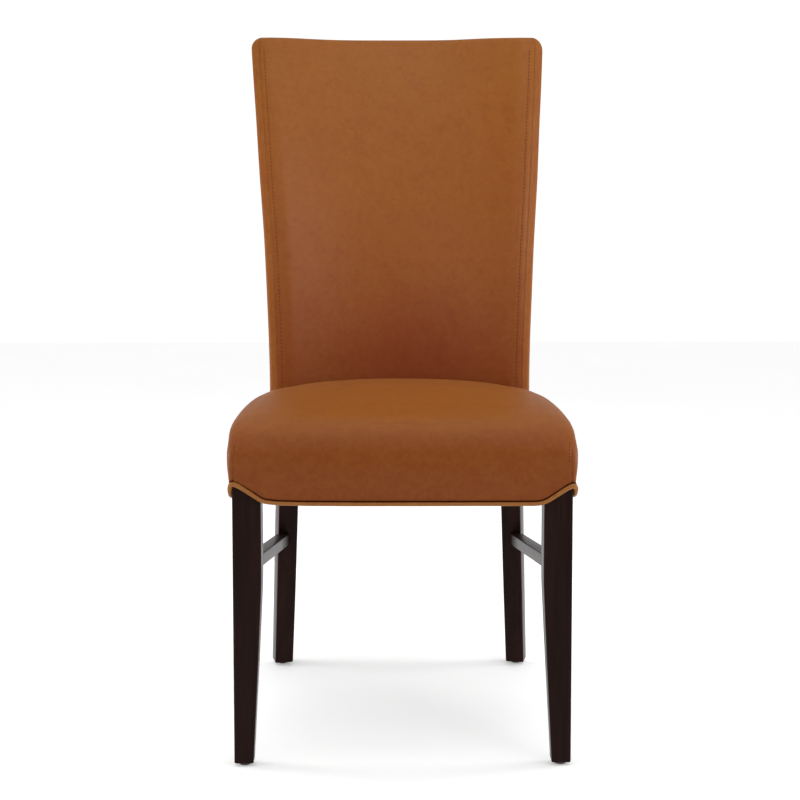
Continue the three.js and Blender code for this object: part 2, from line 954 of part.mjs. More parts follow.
// Rings of the leather surface from its lower edge to near the crown,
// `skin` inside the outer face.
function seatRings(skin) {
  const rings = [];
  const wall = [
    [0, 0, 6],
    [0.35, 0.3, 8],
    [0.72, 0.75, 12],
    [1, 1, 17],
  ];
  const widest = (p, i, n) =>
    Math.max(rimAt(p, i, n) + 8, SEAT_WIDEST - Math.max(0, 12 - p.y) * 0.15);
  for (const [f, out, r] of wall) {
    const ring = seatOutline(RIM_Z, out, skin, Math.max(4, r - skin));
    ring.forEach((p, i) => {
      const low = rimAt(p, i, ring.length);
      p.z = low + (widest(p, i, ring.length) - low) * f;
    });
    rings.push(ring);
  }
  for (const a of [20, 40, 60, 77]) {
    const rad = (a * Math.PI) / 180;
    const inset = SEAT_ROLL * (1 - Math.cos(rad));
    const ring = seatOutline(440, 1, inset + skin, 17 + inset);
    ring.forEach((p, i) => {
      const low = widest(p, i, ring.length);
      p.z = low + (topZ(p) - skin - low) * Math.sin(rad);
    });
    rings.push(ring);
  }
  for (const [inset, r] of [
    [28, 42],
    [50, 52],
    [85, 60],
    [125, 66],
    [165, 44],
  ]) {
    const ring = seatOutline(460, 1, inset + skin, r);
    ring.forEach((p) => (p.z = topZ(p) - skin));
    rings.push(ring);
  }
  return rings;
}
const seatCrown = (skin) => V(0, 205, seatMid(205) - skin);

const outer = seatRings(0);
const inner = seatRings(LEATHER);
const seatCover = loft([...inner.slice().reverse(), ...outer], {
  start: seatCrown(LEATHER),
  end: seatCrown(0),
});
add(seat, "seat_cover", seatCover, HIDE, [0, 200, RIM_Z]);

const FOAM_BOTTOM = 424.4;
const foamRings = seatRings(LEATHER + 1.1).slice(5);
const foamBase = foamRings[0].map((p) =>
  V(p.x * 0.997, p.y + (p.y < 20 ? 0.6 : p.y > 380 ? -0.6 : 0), FOAM_BOTTOM),
);
add(
  seat,
  "seat_foam",
  loft([foamBase, ...foamRings], { end: seatCrown(LEATHER + 1.1) }),
  FOAM,
  [0, 200, FOAM_BOTTOM],
);

// wadding between the rails and the leather
const WAD_Z0 = 357;
const WAD_Z1 = 423.5;
const wadOut = LEATHER + GAP * 1.5;
add(
  seat,
  "front_wadding",
  prism(
    [
      [-177, RAIL_FRONT - GAP],
      [-177, RIM_Y + wadOut],
      [177, RIM_Y + wadOut],
      [177, RAIL_FRONT - GAP],
    ],
    WAD_Z0,
    WAD_Z1,
  ),
  WADDING,
  [0, RAIL_FRONT, WAD_Z0],
);
{
  const ys = level(38, 372, 5);
  addPair(
    seat,
    "side_wadding",
    prism(
      [
        ...ys.map((y) => [sideOuter(y) + GAP * 1.2, y]),
        ...ys.reverse().map((y) => [seatHalf(y) - wadOut - 0.4, y]),
      ],
      WAD_Z0,
      WAD_Z1,
    ),
    WADDING,
    [205, 200, WAD_Z0],
  );
}

// piping round the lower edge of the seat and of the back
function weltPath() {
  const pts = [];
  const ring = seatOutline(RIM_Z, 0, 0, 6);
  const n = ring.length;
  // front and sides, refined
  const dense = [];
  for (let i = 0; i < n; i++) {
    const a = ring[i];
    const b = ring[(i + 1) % n];
    const steps = Math.max(1, Math.round(a.distanceTo(b) / 24));
    for (let k = 0; k < steps; k++) dense.push(a.clone().lerp(b, k / steps));
  }
  for (const p of dense) if (p.y < 368) pts.push(p);
  // the list starts at the middle of the front and runs to the right; the
  // part along the back is replaced by the outline of the rear post covers
  const split = pts.findIndex(
    (p, i) => i > 0 && pts[i - 1].x > 0 && p.x < 0 && p.y > 100,
  );
  const w = backW(RIM_Z);
  const t = backT(RIM_Z);
  const right = [
    V(w + 0.1, backFront(w, RIM_Z) + 6, 0),
    V(w + 0.1, backFront(w, RIM_Z) + 20, 0),
    V(w + 0.1, backFront(w, RIM_Z) + t - 9, 0),
    V(w - 1.4, backFront(w, RIM_Z) + t - 2.4, 0),
    V(w - 8, backFront(w - 8, RIM_Z) + t + 1, 0),
    ...level(w - 30, 0, 6).map((x) => V(x, backFront(x, RIM_Z) + t + 0.4, 0)),
  ];
  const left = right
    .slice(0, -1)
    .reverse()
    .map((p) => V(-p.x, p.y, p.z));
  const all = [...pts.slice(0, split), ...right, ...left, ...pts.slice(split)];
  return all.map((p) => V(p.x, p.y, rim(p) + 0.4));
}
function loopTube(path, r, push, sides) {
  const n = path.length;
  return loft(
    path.map((p, i) => {
      const t = path[(i + 1) % n]
        .clone()
        .sub(path[(i - 1 + n) % n])
        .normalize();
      const out = V(t.y, -t.x, 0).normalize();
      const up = V(0, 0, 0).crossVectors(out, t).normalize();
      const c = p.clone().addScaledVector(out, push).addScaledVector(up, 0);
      return Array.from({ length: sides }, (_, k) => {
        const a = (k / sides) * 2 * Math.PI;
        return c
          .clone()
          .addScaledVector(out, r * Math.cos(a))
          .addScaledVector(up, r * Math.sin(a));
      });
    }),
    { loop: true },
  );
}
add(
  seat,
  "seat_welt",
  loopTube(weltPath(), WELT_R, WELT_R + GAP * 2, 8),
  PIPING,
  [0, 200, RIM_Z],
);

// webbing over the seat frame: three straps from front to rear, three across
const WEB_LOW = FRAME_TOP + GAP;
const WEB_HIGH = WEB_LOW + WEB_T + GAP;
[-104, 0, 104].forEach((x, i) => {
  const y1 = backFront(Math.abs(x) + WEB_W / 2, FRAME_TOP) + RAIL_DEPTH + 14;
  add(
    seat,
    "seat_strap_long_" + (i + 1),
    box(
      x - WEB_W / 2,
      x + WEB_W / 2,
      RAIL_FRONT + 2,
      y1,
      WEB_LOW,
      WEB_LOW + WEB_T,
    ),
    WEBBING,
    [x, 200, WEB_LOW],
  );
});
[92, 200, 308].forEach((y, i) => {
  const x = sideOuter(y + WEB_W / 2) - 3;
  add(
    seat,
    "seat_strap_cross_" + (i + 1),
    box(-x, x, y - WEB_W / 2, y + WEB_W / 2, WEB_HIGH, WEB_HIGH + WEB_T),
    WEBBING,
    [0, y, WEB_HIGH],
  );
});

// black cloth that closes the underside
const DUST_Z = RAIL_BOTTOM - GAP - 1;
const dust = (() => {
  const ys = level(LEG_FRONT + 9, 396, 6);
  const side = ys.map((y) => [sideOuter(Math.max(y, LEG_REAR)) - 3, y]);
  const rear = level(sideOuter(396) - 6, 0, 5).map((x) => [
    x,
    Math.min(backFront(x, 356) + RAIL_DEPTH + 16, 470),
  ]);
  const right = [...side, ...rear];
  const left = right
    .slice(0, -1)
    .reverse()
    .map(([x, y]) => [-x, y]);
  const sheet = prism([...right, ...left], DUST_Z, DUST_Z + 1);
  const leg = box(
    LEG_IN - GAP,
    260,
    -60,
    LEG_REAR + GAP,
    DUST_Z - 5,
    DUST_Z + 5,
  );
  const post = loft([330, 392].map((z) => postRing(z, GAP * 1.5, 1)));
  return cut(sheet, leg, mirrored(leg), post, mirrored(post));
})();
add(seat, "dust_cover", dust, CLOTH, [0, 200, DUST_Z]);

// ----------------------------------------------------------------- back
const PANEL_BOTTOM = 426;
const topWidth = (z, inset = 0) => {
  // half width of the back, with its rounded top corner
  const w = backW(z);
  const r = BACK_CORNER - inset;
  const over = z - (HEIGHT - inset - r);
  return over <= 0 ? w - inset : w - inset - r + Math.sqrt(Math.max(0, r * r - over * over));
};
const panelLevels = [PANEL_BOTTOM, 457, 520, 600, 700, 800, 900, 980, 1000];
const frontPanel = join(
  backSlab(
    panelLevels,
    (z) => backW(z) - GUSSET_LAP - GAP,
    flat(0),
    flat(LEATHER),
    8,
  ),
  // over the top edge to the seam at the rear
  backSlab(
    [1000 - 1, 1004],
    (z) => backW(z) - GUSSET_LAP - GAP,
    (x, z) => (z > 1000 ? 1.2 : 0),
    (x, z) => (z > 1000 ? LEATHER + 1.2 : LEATHER),
    8,
  ),
  backSlab(
    [1003, HEIGHT],
    (z) => backW(z) - GUSSET_LAP - GAP,
    (x, z) => (z > 1004 ? 6 : 1),
    (x, z) => backT(990) - (z > 1004 ? 6 : 2.6),
    8,
  ),
);
add(back, "back_front_panel", frontPanel, HIDE, [0, 430, PANEL_BOTTOM]);

// foam behind the front leather
const foamLevels = [PANEL_BOTTOM, 457, 520, 600, 700, 800, 900, 980, 1000];
const foamX = (z) => {
  const w = topWidth(z);
  const side = [w - 12.5, w - 7.5, w - 3];
  return [
    ...side.map((x) => -x).reverse(),
    ...level(-(w - 18), w - 18, 8),
    ...side,
  ];
};
add(
  back,
  "back_foam",
  loft(
    foamLevels.map((z) => {
      const xs = foamX(z);
      const depth = [13, 8, 4.4, 2.3];
      return [
        ...xs.map((x, i) =>
          V(
            x,
            backFront(x, z) + (depth[Math.min(i, xs.length - 1 - i)] ?? 2.3),
            z,
          ),
        ),
        ...xs.slice().reverse().map((x) => V(x, backFront(x, z) + FOAM_BACK, z)),
      ];
    }),
  ),
  FOAM,
  [0, 430, PANEL_BOTTOM],
);
// wadding over the crest rail
add(
  back,
  "crest_wadding",
  backSlab(
    [POST_TOP + 1, 1002],
    (z) => backW(z) - GUSSET_LAP - 3,
    flat(FOAM_BACK + 1.2),
    (x, z) => backT(990) - 6,
    8,
  ),
  WADDING,
  [0, 560, POST_TOP],
);

// side gusset: a strip of leather that laps onto the front, turns round the
// edge, covers the post and turns onto the rear
const gussetLevels = [
  RIM_Z, 392, 457, 520, 600, 700, 800, 900, 960, 991, 998, 1003,
];
function gussetRing(z) {
  const w = topWidth(z);
  const t = backT(Math.min(z, 990));
  const lap = Math.max(2.5, GUSSET_LAP - (backW(z) - w));
  const f = (x) => backFront(x, z);
  const outerLine = [
    [w - lap, f(w - lap)],
    [w - 12 * (lap / 17), f(w - 12) + 0.4],
    [w - 6 * (lap / 17), f(w - 6) + 2.4],
    [w - 2 * (lap / 17), f(w - 2) + 6],
    [w, f(w) + 12],
    [w, f(w) + t - 9],
    [w - 1.6 * (lap / 17), f(w) + t - 3.4],
    [w - 6 * (lap / 17), f(w - 6) + t],
  ];
  const n = outerLine.length;
  const innerLine = outerLine.map(([x, y], i) => {
    const [ax, ay] = outerLine[Math.max(0, i - 1)];
    const [bx, by] = outerLine[Math.min(n - 1, i + 1)];
    const len = Math.hypot(bx - ax, by - ay);
    return [x - ((by - ay) / len) * LEATHER, y + ((bx - ax) / len) * LEATHER];
  });
  return [...outerLine, ...innerLine.reverse()].map(([x, y]) => V(x, y, z));
}
const sideRailBig = prism(
  [
    [150, 300],
    [sideOuter(300) + GAP * 1.5, 300],
    [sideOuter(425) + GAP * 1.5, 425],
    [150, 425],
  ],
  RIM_Z - 4,
  FRAME_TOP + GAP,
);
const gusset = cut(loft(gussetLevels.map(gussetRing)), sideRailBig);
addPair(back, "side_gusset", gusset, HIDE, [
  210,
  430,
  RIM_Z,
]);

// wadding between the post and the gusset
const wadLevels = [RIM_Z + 4, 392, 457, 520, 600, 700, 800, 900, 980];
addPair(
  back,
  "post_wadding",
  cut(
    loft(
      wadLevels.map((z) => {
        const w = topWidth(z) - LEATHER - GAP * 1.5;
        const a = postYaw(z);
        const inX = (v) =>
          postX(z) +
          (postW(z) / 2) * Math.cos(a) +
          v * Math.sin(a) +
          GAP * 1.4;
        const y = (x) => backFront(x, z) + FOAM_BACK + 1.6;
        const y1 = backFront(w, z) + backT(z) - 12;
        const near = inX(-postD(z) / 2);
        return [
          V(near, y(near), z),
          V(w, y(w), z),
          V(w, y1, z),
          V(inX(postD(z) / 2), y1, z),
        ];
      }),
    ),
    loft(POST_LEVELS.slice(4).map((z) => postRing(z, GAP * 1.2, 1))),
    sideRailBig,
  ),
  WADDING,
  [200, 430, RIM_Z],
);

// thin bent board across the rear of the posts, under the outer leather
const boardLevels = [RIM_Z + 4, 392, 457, 520, 600, 700, 800, 900, 984];
add(
  back,
  "back_board",
  backSlab(
    boardLevels,
    (z) => backW(z) - 11,
    (x, z) => backT(z) - 5.2,
    (x, z) => backT(z) - 2.2,
    8,
  ),
  PLYWOOD,
  [0, 470, RIM_Z],
);
add(
  back,
  "back_outer_panel",
  backSlab(
    [RIM_Z, 392, 457, 520, 600, 700, 800, 900, 984, 1002],
    (z) => topWidth(z) - 8.4,
    (x, z) => backT(Math.min(z, 990)) - LEATHER,
    (x, z) => backT(Math.min(z, 990)),
    8,
  ),
  HIDE,
  [0, 470, RIM_Z],
);

// upright webbing between the lower rail and the crest rail
[-96, 0, 96].forEach((x, i) =>
  add(
    back,
    "back_strap_" + (i + 1),
    backSlab(
      [502, 545, 600, 650, 700, 750, 800, 850, 900, 940, 982],
      flat(WEB_W / 2),
      flat(FOAM_BACK + 0.8),
      flat(FOAM_BACK + 0.8 + WEB_T),
      2,
      x,
    ),
    WEBBING,
    [x, 450, 502],
  ),
);

// ------------------------------------------- origin under the middle, on Z=0
chair.updateMatrixWorld(true);
const bounds = new THREE.Box3().setFromObject(chair, true);
chair.position.set(0, -(bounds.min.y + bounds.max.y) / 2, 0);
chair.updateMatrixWorld(true);

export default chair;
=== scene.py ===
import math

import bpy
import numpy as np
from mathutils import Matrix, Vector

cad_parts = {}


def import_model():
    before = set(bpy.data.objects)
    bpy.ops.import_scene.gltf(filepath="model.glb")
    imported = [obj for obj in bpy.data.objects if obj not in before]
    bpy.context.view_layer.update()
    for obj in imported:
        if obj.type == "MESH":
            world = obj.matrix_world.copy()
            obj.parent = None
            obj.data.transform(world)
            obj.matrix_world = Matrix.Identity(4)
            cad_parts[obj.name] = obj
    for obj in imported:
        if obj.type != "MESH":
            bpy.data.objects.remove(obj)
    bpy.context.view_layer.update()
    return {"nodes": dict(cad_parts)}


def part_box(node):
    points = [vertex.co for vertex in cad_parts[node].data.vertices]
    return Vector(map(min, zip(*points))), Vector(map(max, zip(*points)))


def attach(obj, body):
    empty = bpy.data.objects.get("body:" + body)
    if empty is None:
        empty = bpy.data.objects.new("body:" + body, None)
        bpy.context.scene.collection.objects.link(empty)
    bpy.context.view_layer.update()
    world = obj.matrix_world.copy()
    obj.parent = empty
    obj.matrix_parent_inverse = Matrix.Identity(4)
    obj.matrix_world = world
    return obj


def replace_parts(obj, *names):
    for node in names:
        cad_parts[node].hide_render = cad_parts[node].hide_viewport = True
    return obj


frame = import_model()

# Shapes are worked out in millimetres in the chair's own frame: X to the right
# seen from the front, Y = 0 under the centres of the front feet and growing
# towards the back, Z up from the floor. SHIFT moves Y into the shared frame.
_lo, _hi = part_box("front_glide_right")
SHIFT = (_lo.y + _hi.y) / 2 * 1000.0


def world(p):
    p = np.asarray(p, float)
    return (p + np.array([0.0, SHIFT, 0.0])) / 1000.0


# ------------------------------------------------------------- dimensions
HEIGHT = 1008.0
RIM_Z = 353.0
FRAME_TOP = 420.0
LEG_OUT, LEG_SPLAY, LEG_W, LEG_FRONT = 221.6, 1.3, 37.2, -12.5
LEG_TAPER = [[4, 13], [215, 1.7], [246, 0.35], [274, 0]]
GLIDE_H = 4.0
POST_SIZE = [
    [4, 29, 31, 13], [131, 30, 34.5, 13], [268, 30.4, 38, 13], [353, 30.4, 38, 13.5],
    [457, 30, 38, 16.3], [600, 28.5, 35.5, 17.1], [800, 26, 31.5, 18.7], [986, 24, 27, 19.7],
]
POST_TOP = 986.0
POST_LOW = [[4, 190.6, 485.5], [131, 184.4, 456], [268, 178.7, 433.5], [353, 175.4, 428.5]]
BACK_W = [
    [353, 204], [420, 201.6], [457, 200.9], [503, 201.7], [549, 203.4], [595, 205.6], [641, 207.9],
    [688, 210.6], [734, 214.0], [781, 217.6], [829, 220.8], [876, 223.9], [924, 227.4], [973, 230.8],
    [1008, 233.0],
]
BACK_Y = [
    [353, 386], [420, 384.5], [457, 385.5], [503, 391.6], [549, 399.6], [641, 418.2], [734, 440.2],
    [829, 466.2], [924, 495.4], [1008, 524],
]
BACK_SAG = 49.0
BACK_CORNER = 17.0
LAP = 11.6  # the front seam lies this far inside the side edge
SEAT_HALF = [[-16, 225], [40, 225], [100, 222.6], [200, 216.8], [300, 209.8], [386, 203.4]]
SEAT_BULGE = [[-16, 4.4], [40, 5.2], [120, 5.8], [250, 5], [340, 2.6], [386, 0]]
SEAT_WIDEST = 418.0
SEAT_ROLL = 25.0
SEAT_EDGE = [
    [-16, 438], [0, 446], [40, 457], [80, 462], [120, 465], [160, 466.6], [200, 467], [260, 465],
    [320, 462], [386, 456.5],
]
SEAT_MID = [
    [-16, 447], [0, 452.5], [30, 462], [80, 470.5], [150, 477], [230, 480], [300, 479.6], [380, 476.3],
    [425, 473],
]
RIM_X, RIM_Y = 225.0, -15.5
NOTCH_TOP = 381.4  # height of the leather's lower edge over a front leg
# how far that edge has dropped, by the distance from the peak: along the
# front, round the corner and along the side
# (the two sides were cut by hand and differ)
NOTCH_FRONT_LEFT = [
    [0, 0.055], [4.1, 0.106], [8, 0.185], [11.8, 0.272], [15.7, 0.36], [19.5, 0.448], [23.4, 0.54], [27.2, 0.63],
    [31.1, 0.722], [34.9, 0.812], [38.8, 0.869], [42.6, 0.895], [46.5, 0.907], [50.3, 0.92], [54.2, 0.936],
    [58, 0.948], [65.7, 0.954], [73.4, 0.96], [85, 0.974], [112, 0.984], [150, 0.994], [240, 1],
]
NOTCH_FRONT_RIGHT = [
    [0, 0.18], [3.6, 0.244], [7.4, 0.33], [11.3, 0.42], [15.2, 0.508], [19, 0.597], [22.9, 0.69], [26.7, 0.78],
    [30.6, 0.86], [34.4, 0.925], [38.3, 0.965], [42.1, 0.988], [46, 1.0], [53.7, 1.008], [65, 1.012],
    [95, 1.012], [146, 1.012], [197, 1.006], [240, 1],
]
NOTCH_CORNER_LEFT = [[0, 0.055], [0.25, 0.03], [0.5, 0.05], [0.75, 0.16], [1, 0.38]]
NOTCH_CORNER_RIGHT = [[0, 0.18], [0.25, 0.145], [0.5, 0.14], [0.75, 0.22], [1, 0.40]]
NOTCH_SIDE = [[0, 0.38], [4, 0.52], [9.5, 0.63], [21.5, 0.745], [33.5, 0.82], [49.5, 0.92], [66, 1]]
TUCK_Z = 424.2
WELT_R = 2.55
STITCH = 6.0  # pitch of the stitches in the back


# ---------------------------------------------------------------- helpers
def curve(table):
    t = np.array(table, float)
    x, y = t[:, 0], t[:, 1]
    s = np.diff(y) / np.diff(x)
    m = np.empty(len(x))
    m[0], m[-1] = s[0], s[-1]
    for i in range(1, len(x) - 1):
        m[i] = 0 if s[i - 1] * s[i] <= 0 else (s[i - 1] + s[i]) / 2

    def f(v):
        v = np.clip(np.asarray(v, float), x[0], x[-1])
        i = np.clip(np.searchsorted(x, v, side="right") - 1, 0, len(x) - 2)
        h = x[i + 1] - x[i]
        q = (v - x[i]) / h
        return (
            (2 * q**3 - 3 * q**2 + 1) * y[i]
            + (q**3 - 2 * q**2 + q) * h * m[i]
            + (-2 * q**3 + 3 * q**2) * y[i + 1]
            + (q**3 - q**2) * h * m[i + 1]
        )

    return f


def smooth(e0, e1, v):
    t = np.clip((np.asarray(v, float) - e0) / (e1 - e0), 0, 1)
    return t * t * (3 - 2 * t)


def mesh_object(name, verts, faces, material, smooth_shade=True):
    me = bpy.data.meshes.new(name)
    me.from_pydata([tuple(v) for v in world(verts)], [], [tuple(int(i) for i in f) for f in faces])
    me.validate()
    me.update()
    if smooth_shade:
        me.polygons.foreach_set("use_smooth", [True] * len(me.polygons))
    ob = bpy.data.objects.new(name, me)
    bpy.context.scene.collection.objects.link(ob)
    if material is not None:
        me.materials.append(material)
    return ob


def grid_faces(n, m, wrap_m=False, base=0, flip=False):
    """Quads of an n by m grid of vertices, numbered row by row."""
    i, j = np.meshgrid(np.arange(n - 1), np.arange(m if wrap_m else m - 1), indexing="ij")
    i, j = i.ravel(), j.ravel()
    k = (j + 1) % m
    q = np.stack([i * m + j, i * m + k, (i + 1) * m + k, (i + 1) * m + j], 1) + base
    return q[:, ::-1] if flip else q


def grid_normals(p, wrap_m=False):
    """Unit normals of a grid surface, by central differences."""
    du = np.gradient(p, axis=0)
    if wrap_m:
        dv = (np.roll(p, -1, 1) - np.roll(p, 1, 1)) / 2
    else:
        dv = np.gradient(p, axis=1)
    n = np.cross(du, dv)
    return n / np.maximum(np.linalg.norm(n, axis=-1, keepdims=True), 1e-9)


def plate(name, outer, inner, material):
    """Closed solid between two grids of the same size, joined round the edge."""
    n, m = outer.shape[:2]
    verts = np.concatenate([outer.reshape(-1, 3), inner.reshape(-1, 3)])
    base = n * m
    f = [grid_faces(n, m), grid_faces(n, m, base=base, flip=True)]
    edge = (
        [(0, j) for j in range(m)]
        + [(i, m - 1) for i in range(1, n)]
        + [(n - 1, j) for j in range(m - 2, -1, -1)]
        + [(i, 0) for i in range(n - 2, 0, -1)]
    )
    e = np.array([a * m + b for a, b in edge])
    g = np.roll(e, -1)
    f.append(np.stack([e, e + base, g + base, g], 1))
    faces = np.concatenate(f)
    faces = face_out(verts, faces)
    return mesh_object(name, verts, faces, material)


def face_out(verts, faces):
    """The faces, turned so that they enclose a positive volume."""
    a, b, c, d = (verts[faces[:, k]] for k in range(4))
    vol = np.einsum("ij,ij->", a, np.cross(b, c)) + np.einsum("ij,ij->", a, np.cross(c, d))
    return faces if vol > 0 else faces[:, ::-1]


def loft(name, rings, material, close=True):
    """Rings of the same length, joined; each end is closed with a fan."""
    r, m = rings.shape[:2]
    verts = rings.reshape(-1, 3)
    faces = [grid_faces(r, m, wrap_m=True)]
    if close:
        lo, hi = rings[0].mean(0), rings[-1].mean(0)
        verts = np.concatenate([verts, [lo, hi]])
        j = np.arange(m)
        k = (j + 1) % m
        a, b = len(verts) - 2, len(verts) - 1
        tri0 = np.stack([np.full(m, a), k, j], 1)
        tri1 = np.stack([np.full(m, b), (r - 1) * m + j, (r - 1) * m + k], 1)
        quads = [tuple(q) for q in faces[0]] + [tuple(t) for t in tri0] + [tuple(t) for t in tri1]
    else:
        quads = [tuple(q) for q in faces[0]]
    vol = 0.0
    for f in quads:
        for q in range(1, len(f) - 1):
            vol += np.dot(verts[f[0]], np.cross(verts[f[q]], verts[f[q + 1]]))
    if vol < 0:
        quads = [q[::-1] for q in quads]
    return mesh_object(name, verts, quads, material)


def tube(name, path, radius, material, sides=12, closed=False, squash=1.0):
    """Round section swept along a path, with a frame that doesn't twist."""
    path = np.asarray(path, float)
    n = len(path)
    if closed:
        t = np.roll(path, -1, 0) - np.roll(path, 1, 0)
    else:
        t = np.gradient(path, axis=0)
    t /= np.linalg.norm(t, axis=1, keepdims=True)
    side = np.cross(t, [0, 0, 1.0])
    side /= np.maximum(np.linalg.norm(side, axis=1, keepdims=True), 1e-9)
    up = np.cross(side, t)
    a = np.linspace(0, 2 * math.pi, sides, endpoint=False)
    radius = np.broadcast_to(np.asarray(radius, float), (n,))
    rings = (
        path[:, None, :]
        + radius[:, None, None] * np.cos(a)[None, :, None] * side[:, None, :]
        + radius[:, None, None] * squash * np.sin(a)[None, :, None] * up[:, None, :]
    )
    if closed:
        verts = rings.reshape(-1, 3)
        m = sides
        i, j = np.meshgrid(np.arange(n), np.arange(m), indexing="ij")
        i, j = i.ravel(), j.ravel()
        k, i2 = (j + 1) % m, (i + 1) % n
        faces = np.stack([i * m + j, i * m + k, i2 * m + k, i2 * m + j], 1)
        faces = face_out(verts, faces)
        return mesh_object(name, verts, faces, material)
    return loft(name, rings, material)


# --------------------------------------------------------------- materials
class Tree:
    """Short hand for building a node material."""

    def __init__(self, name):
        self.mat = bpy.data.materials.new(name)
        self.mat.use_nodes = True
        self.n = self.mat.node_tree.nodes
        self.l = self.mat.node_tree.links
        self.bsdf = self.n["Principled BSDF"]
        self.co = self.n.new("ShaderNodeTexCoord").outputs["Object"]

    def put(self, node, **values):
        for k, v in values.items():
            node.inputs[k].default_value = v
        return node

    def link(self, a, b):
        self.l.new(a, b)

    def mapping(self, scale, rotation=(0, 0, 0), source=None):
        m = self.n.new("ShaderNodeMapping")
        m.inputs["Scale"].default_value = scale
        m.inputs["Rotation"].default_value = rotation
        self.link(source or self.co, m.inputs["Vector"])
        return m.outputs["Vector"]

    def noise(self, scale, detail=2, rough=0.5, vector=None, distortion=0.0):
        t = self.n.new("ShaderNodeTexNoise")
        t.inputs["Scale"].default_value = scale
        t.inputs["Detail"].default_value = detail
        t.inputs["Roughness"].default_value = rough
        t.inputs["Distortion"].default_value = distortion
        self.link(vector or self.co, t.inputs["Vector"])
        return t.outputs["Fac"]

    def voronoi(self, scale, feature="F1", vector=None, smoothness=None, randomness=1.0):
        t = self.n.new("ShaderNodeTexVoronoi")
        t.feature = feature
        t.inputs["Scale"].default_value = scale
        t.inputs["Randomness"].default_value = randomness
        self.link(vector or self.co, t.inputs["Vector"])
        return t.outputs["Distance"]

    def wave(self, scale, vector=None, distortion=0.0, detail=0.0, direction="X", profile="SIN"):
        t = self.n.new("ShaderNodeTexWave")
        t.wave_type = "BANDS"
        t.bands_direction = direction
        t.wave_profile = profile
        t.inputs["Scale"].default_value = scale
        t.inputs["Distortion"].default_value = distortion
        t.inputs["Detail"].default_value = detail
        self.link(vector or self.co, t.inputs["Vector"])
        return t.outputs["Fac"]

    def ramp(self, fac, stops):
        r = self.n.new("ShaderNodeValToRGB")
        el = r.color_ramp.elements
        el[0].position, el[0].color = stops[0][0], (*stops[0][1], 1)
        el[1].position, el[1].color = stops[-1][0], (*stops[-1][1], 1)
        for at, c in stops[1:-1]:
            e = el.new(at)
            e.color = (*c, 1)
        self.link(fac, r.inputs["Fac"])
        return r.outputs["Color"]

    def range(self, fac, a, b, lo=0.0, hi=1.0):
        m = self.n.new("ShaderNodeMapRange")
        m.inputs["From Min"].default_value = lo
        m.inputs["From Max"].default_value = hi
        m.inputs["To Min"].default_value = a
        m.inputs["To Max"].default_value = b
        self.link(fac, m.inputs["Value"])
        return m.outputs["Result"]

    def math(self, op, a, b):
        m = self.n.new("ShaderNodeMath")
        m.operation = op
        for i, v in enumerate((a, b)):
            if isinstance(v, (int, float)):
                m.inputs[i].default_value = v
            else:
                self.link(v, m.inputs[i])
        return m.outputs[0]

    def mix(self, fac, a, b, mode="MIX"):
        m = self.n.new("ShaderNodeMix")
        m.data_type = "RGBA"
        m.blend_type = mode
        if isinstance(fac, (int, float)):
            m.inputs[0].default_value = fac
        else:
            self.link(fac, m.inputs[0])
        for socket, v in ((m.inputs[6], a), (m.inputs[7], b)):
            if isinstance(v, (tuple, list)):
                socket.default_value = (*v, 1)
            else:
                self.link(v, socket)
        return m.outputs[2]

    def bump(self, height, strength, distance, normal=None):
        b = self.n.new("ShaderNodeBump")
        b.inputs["Strength"].default_value = strength
        b.inputs["Distance"].default_value = distance
        self.link(height, b.inputs["Height"])
        if normal is not None:
            self.link(normal, b.inputs["Normal"])
        return b.outputs["Normal"]

    def set(self, **values):
        for k, v in values.items():
            s = self.bsdf.inputs[k.replace("_", " ")]
            if isinstance(v, (int, float)):
                s.default_value = v
            elif isinstance(v, (tuple, list)):
                s.default_value = (*v, 1) if len(v) == 3 else v
            else:
                self.link(v, s)
        return self.mat


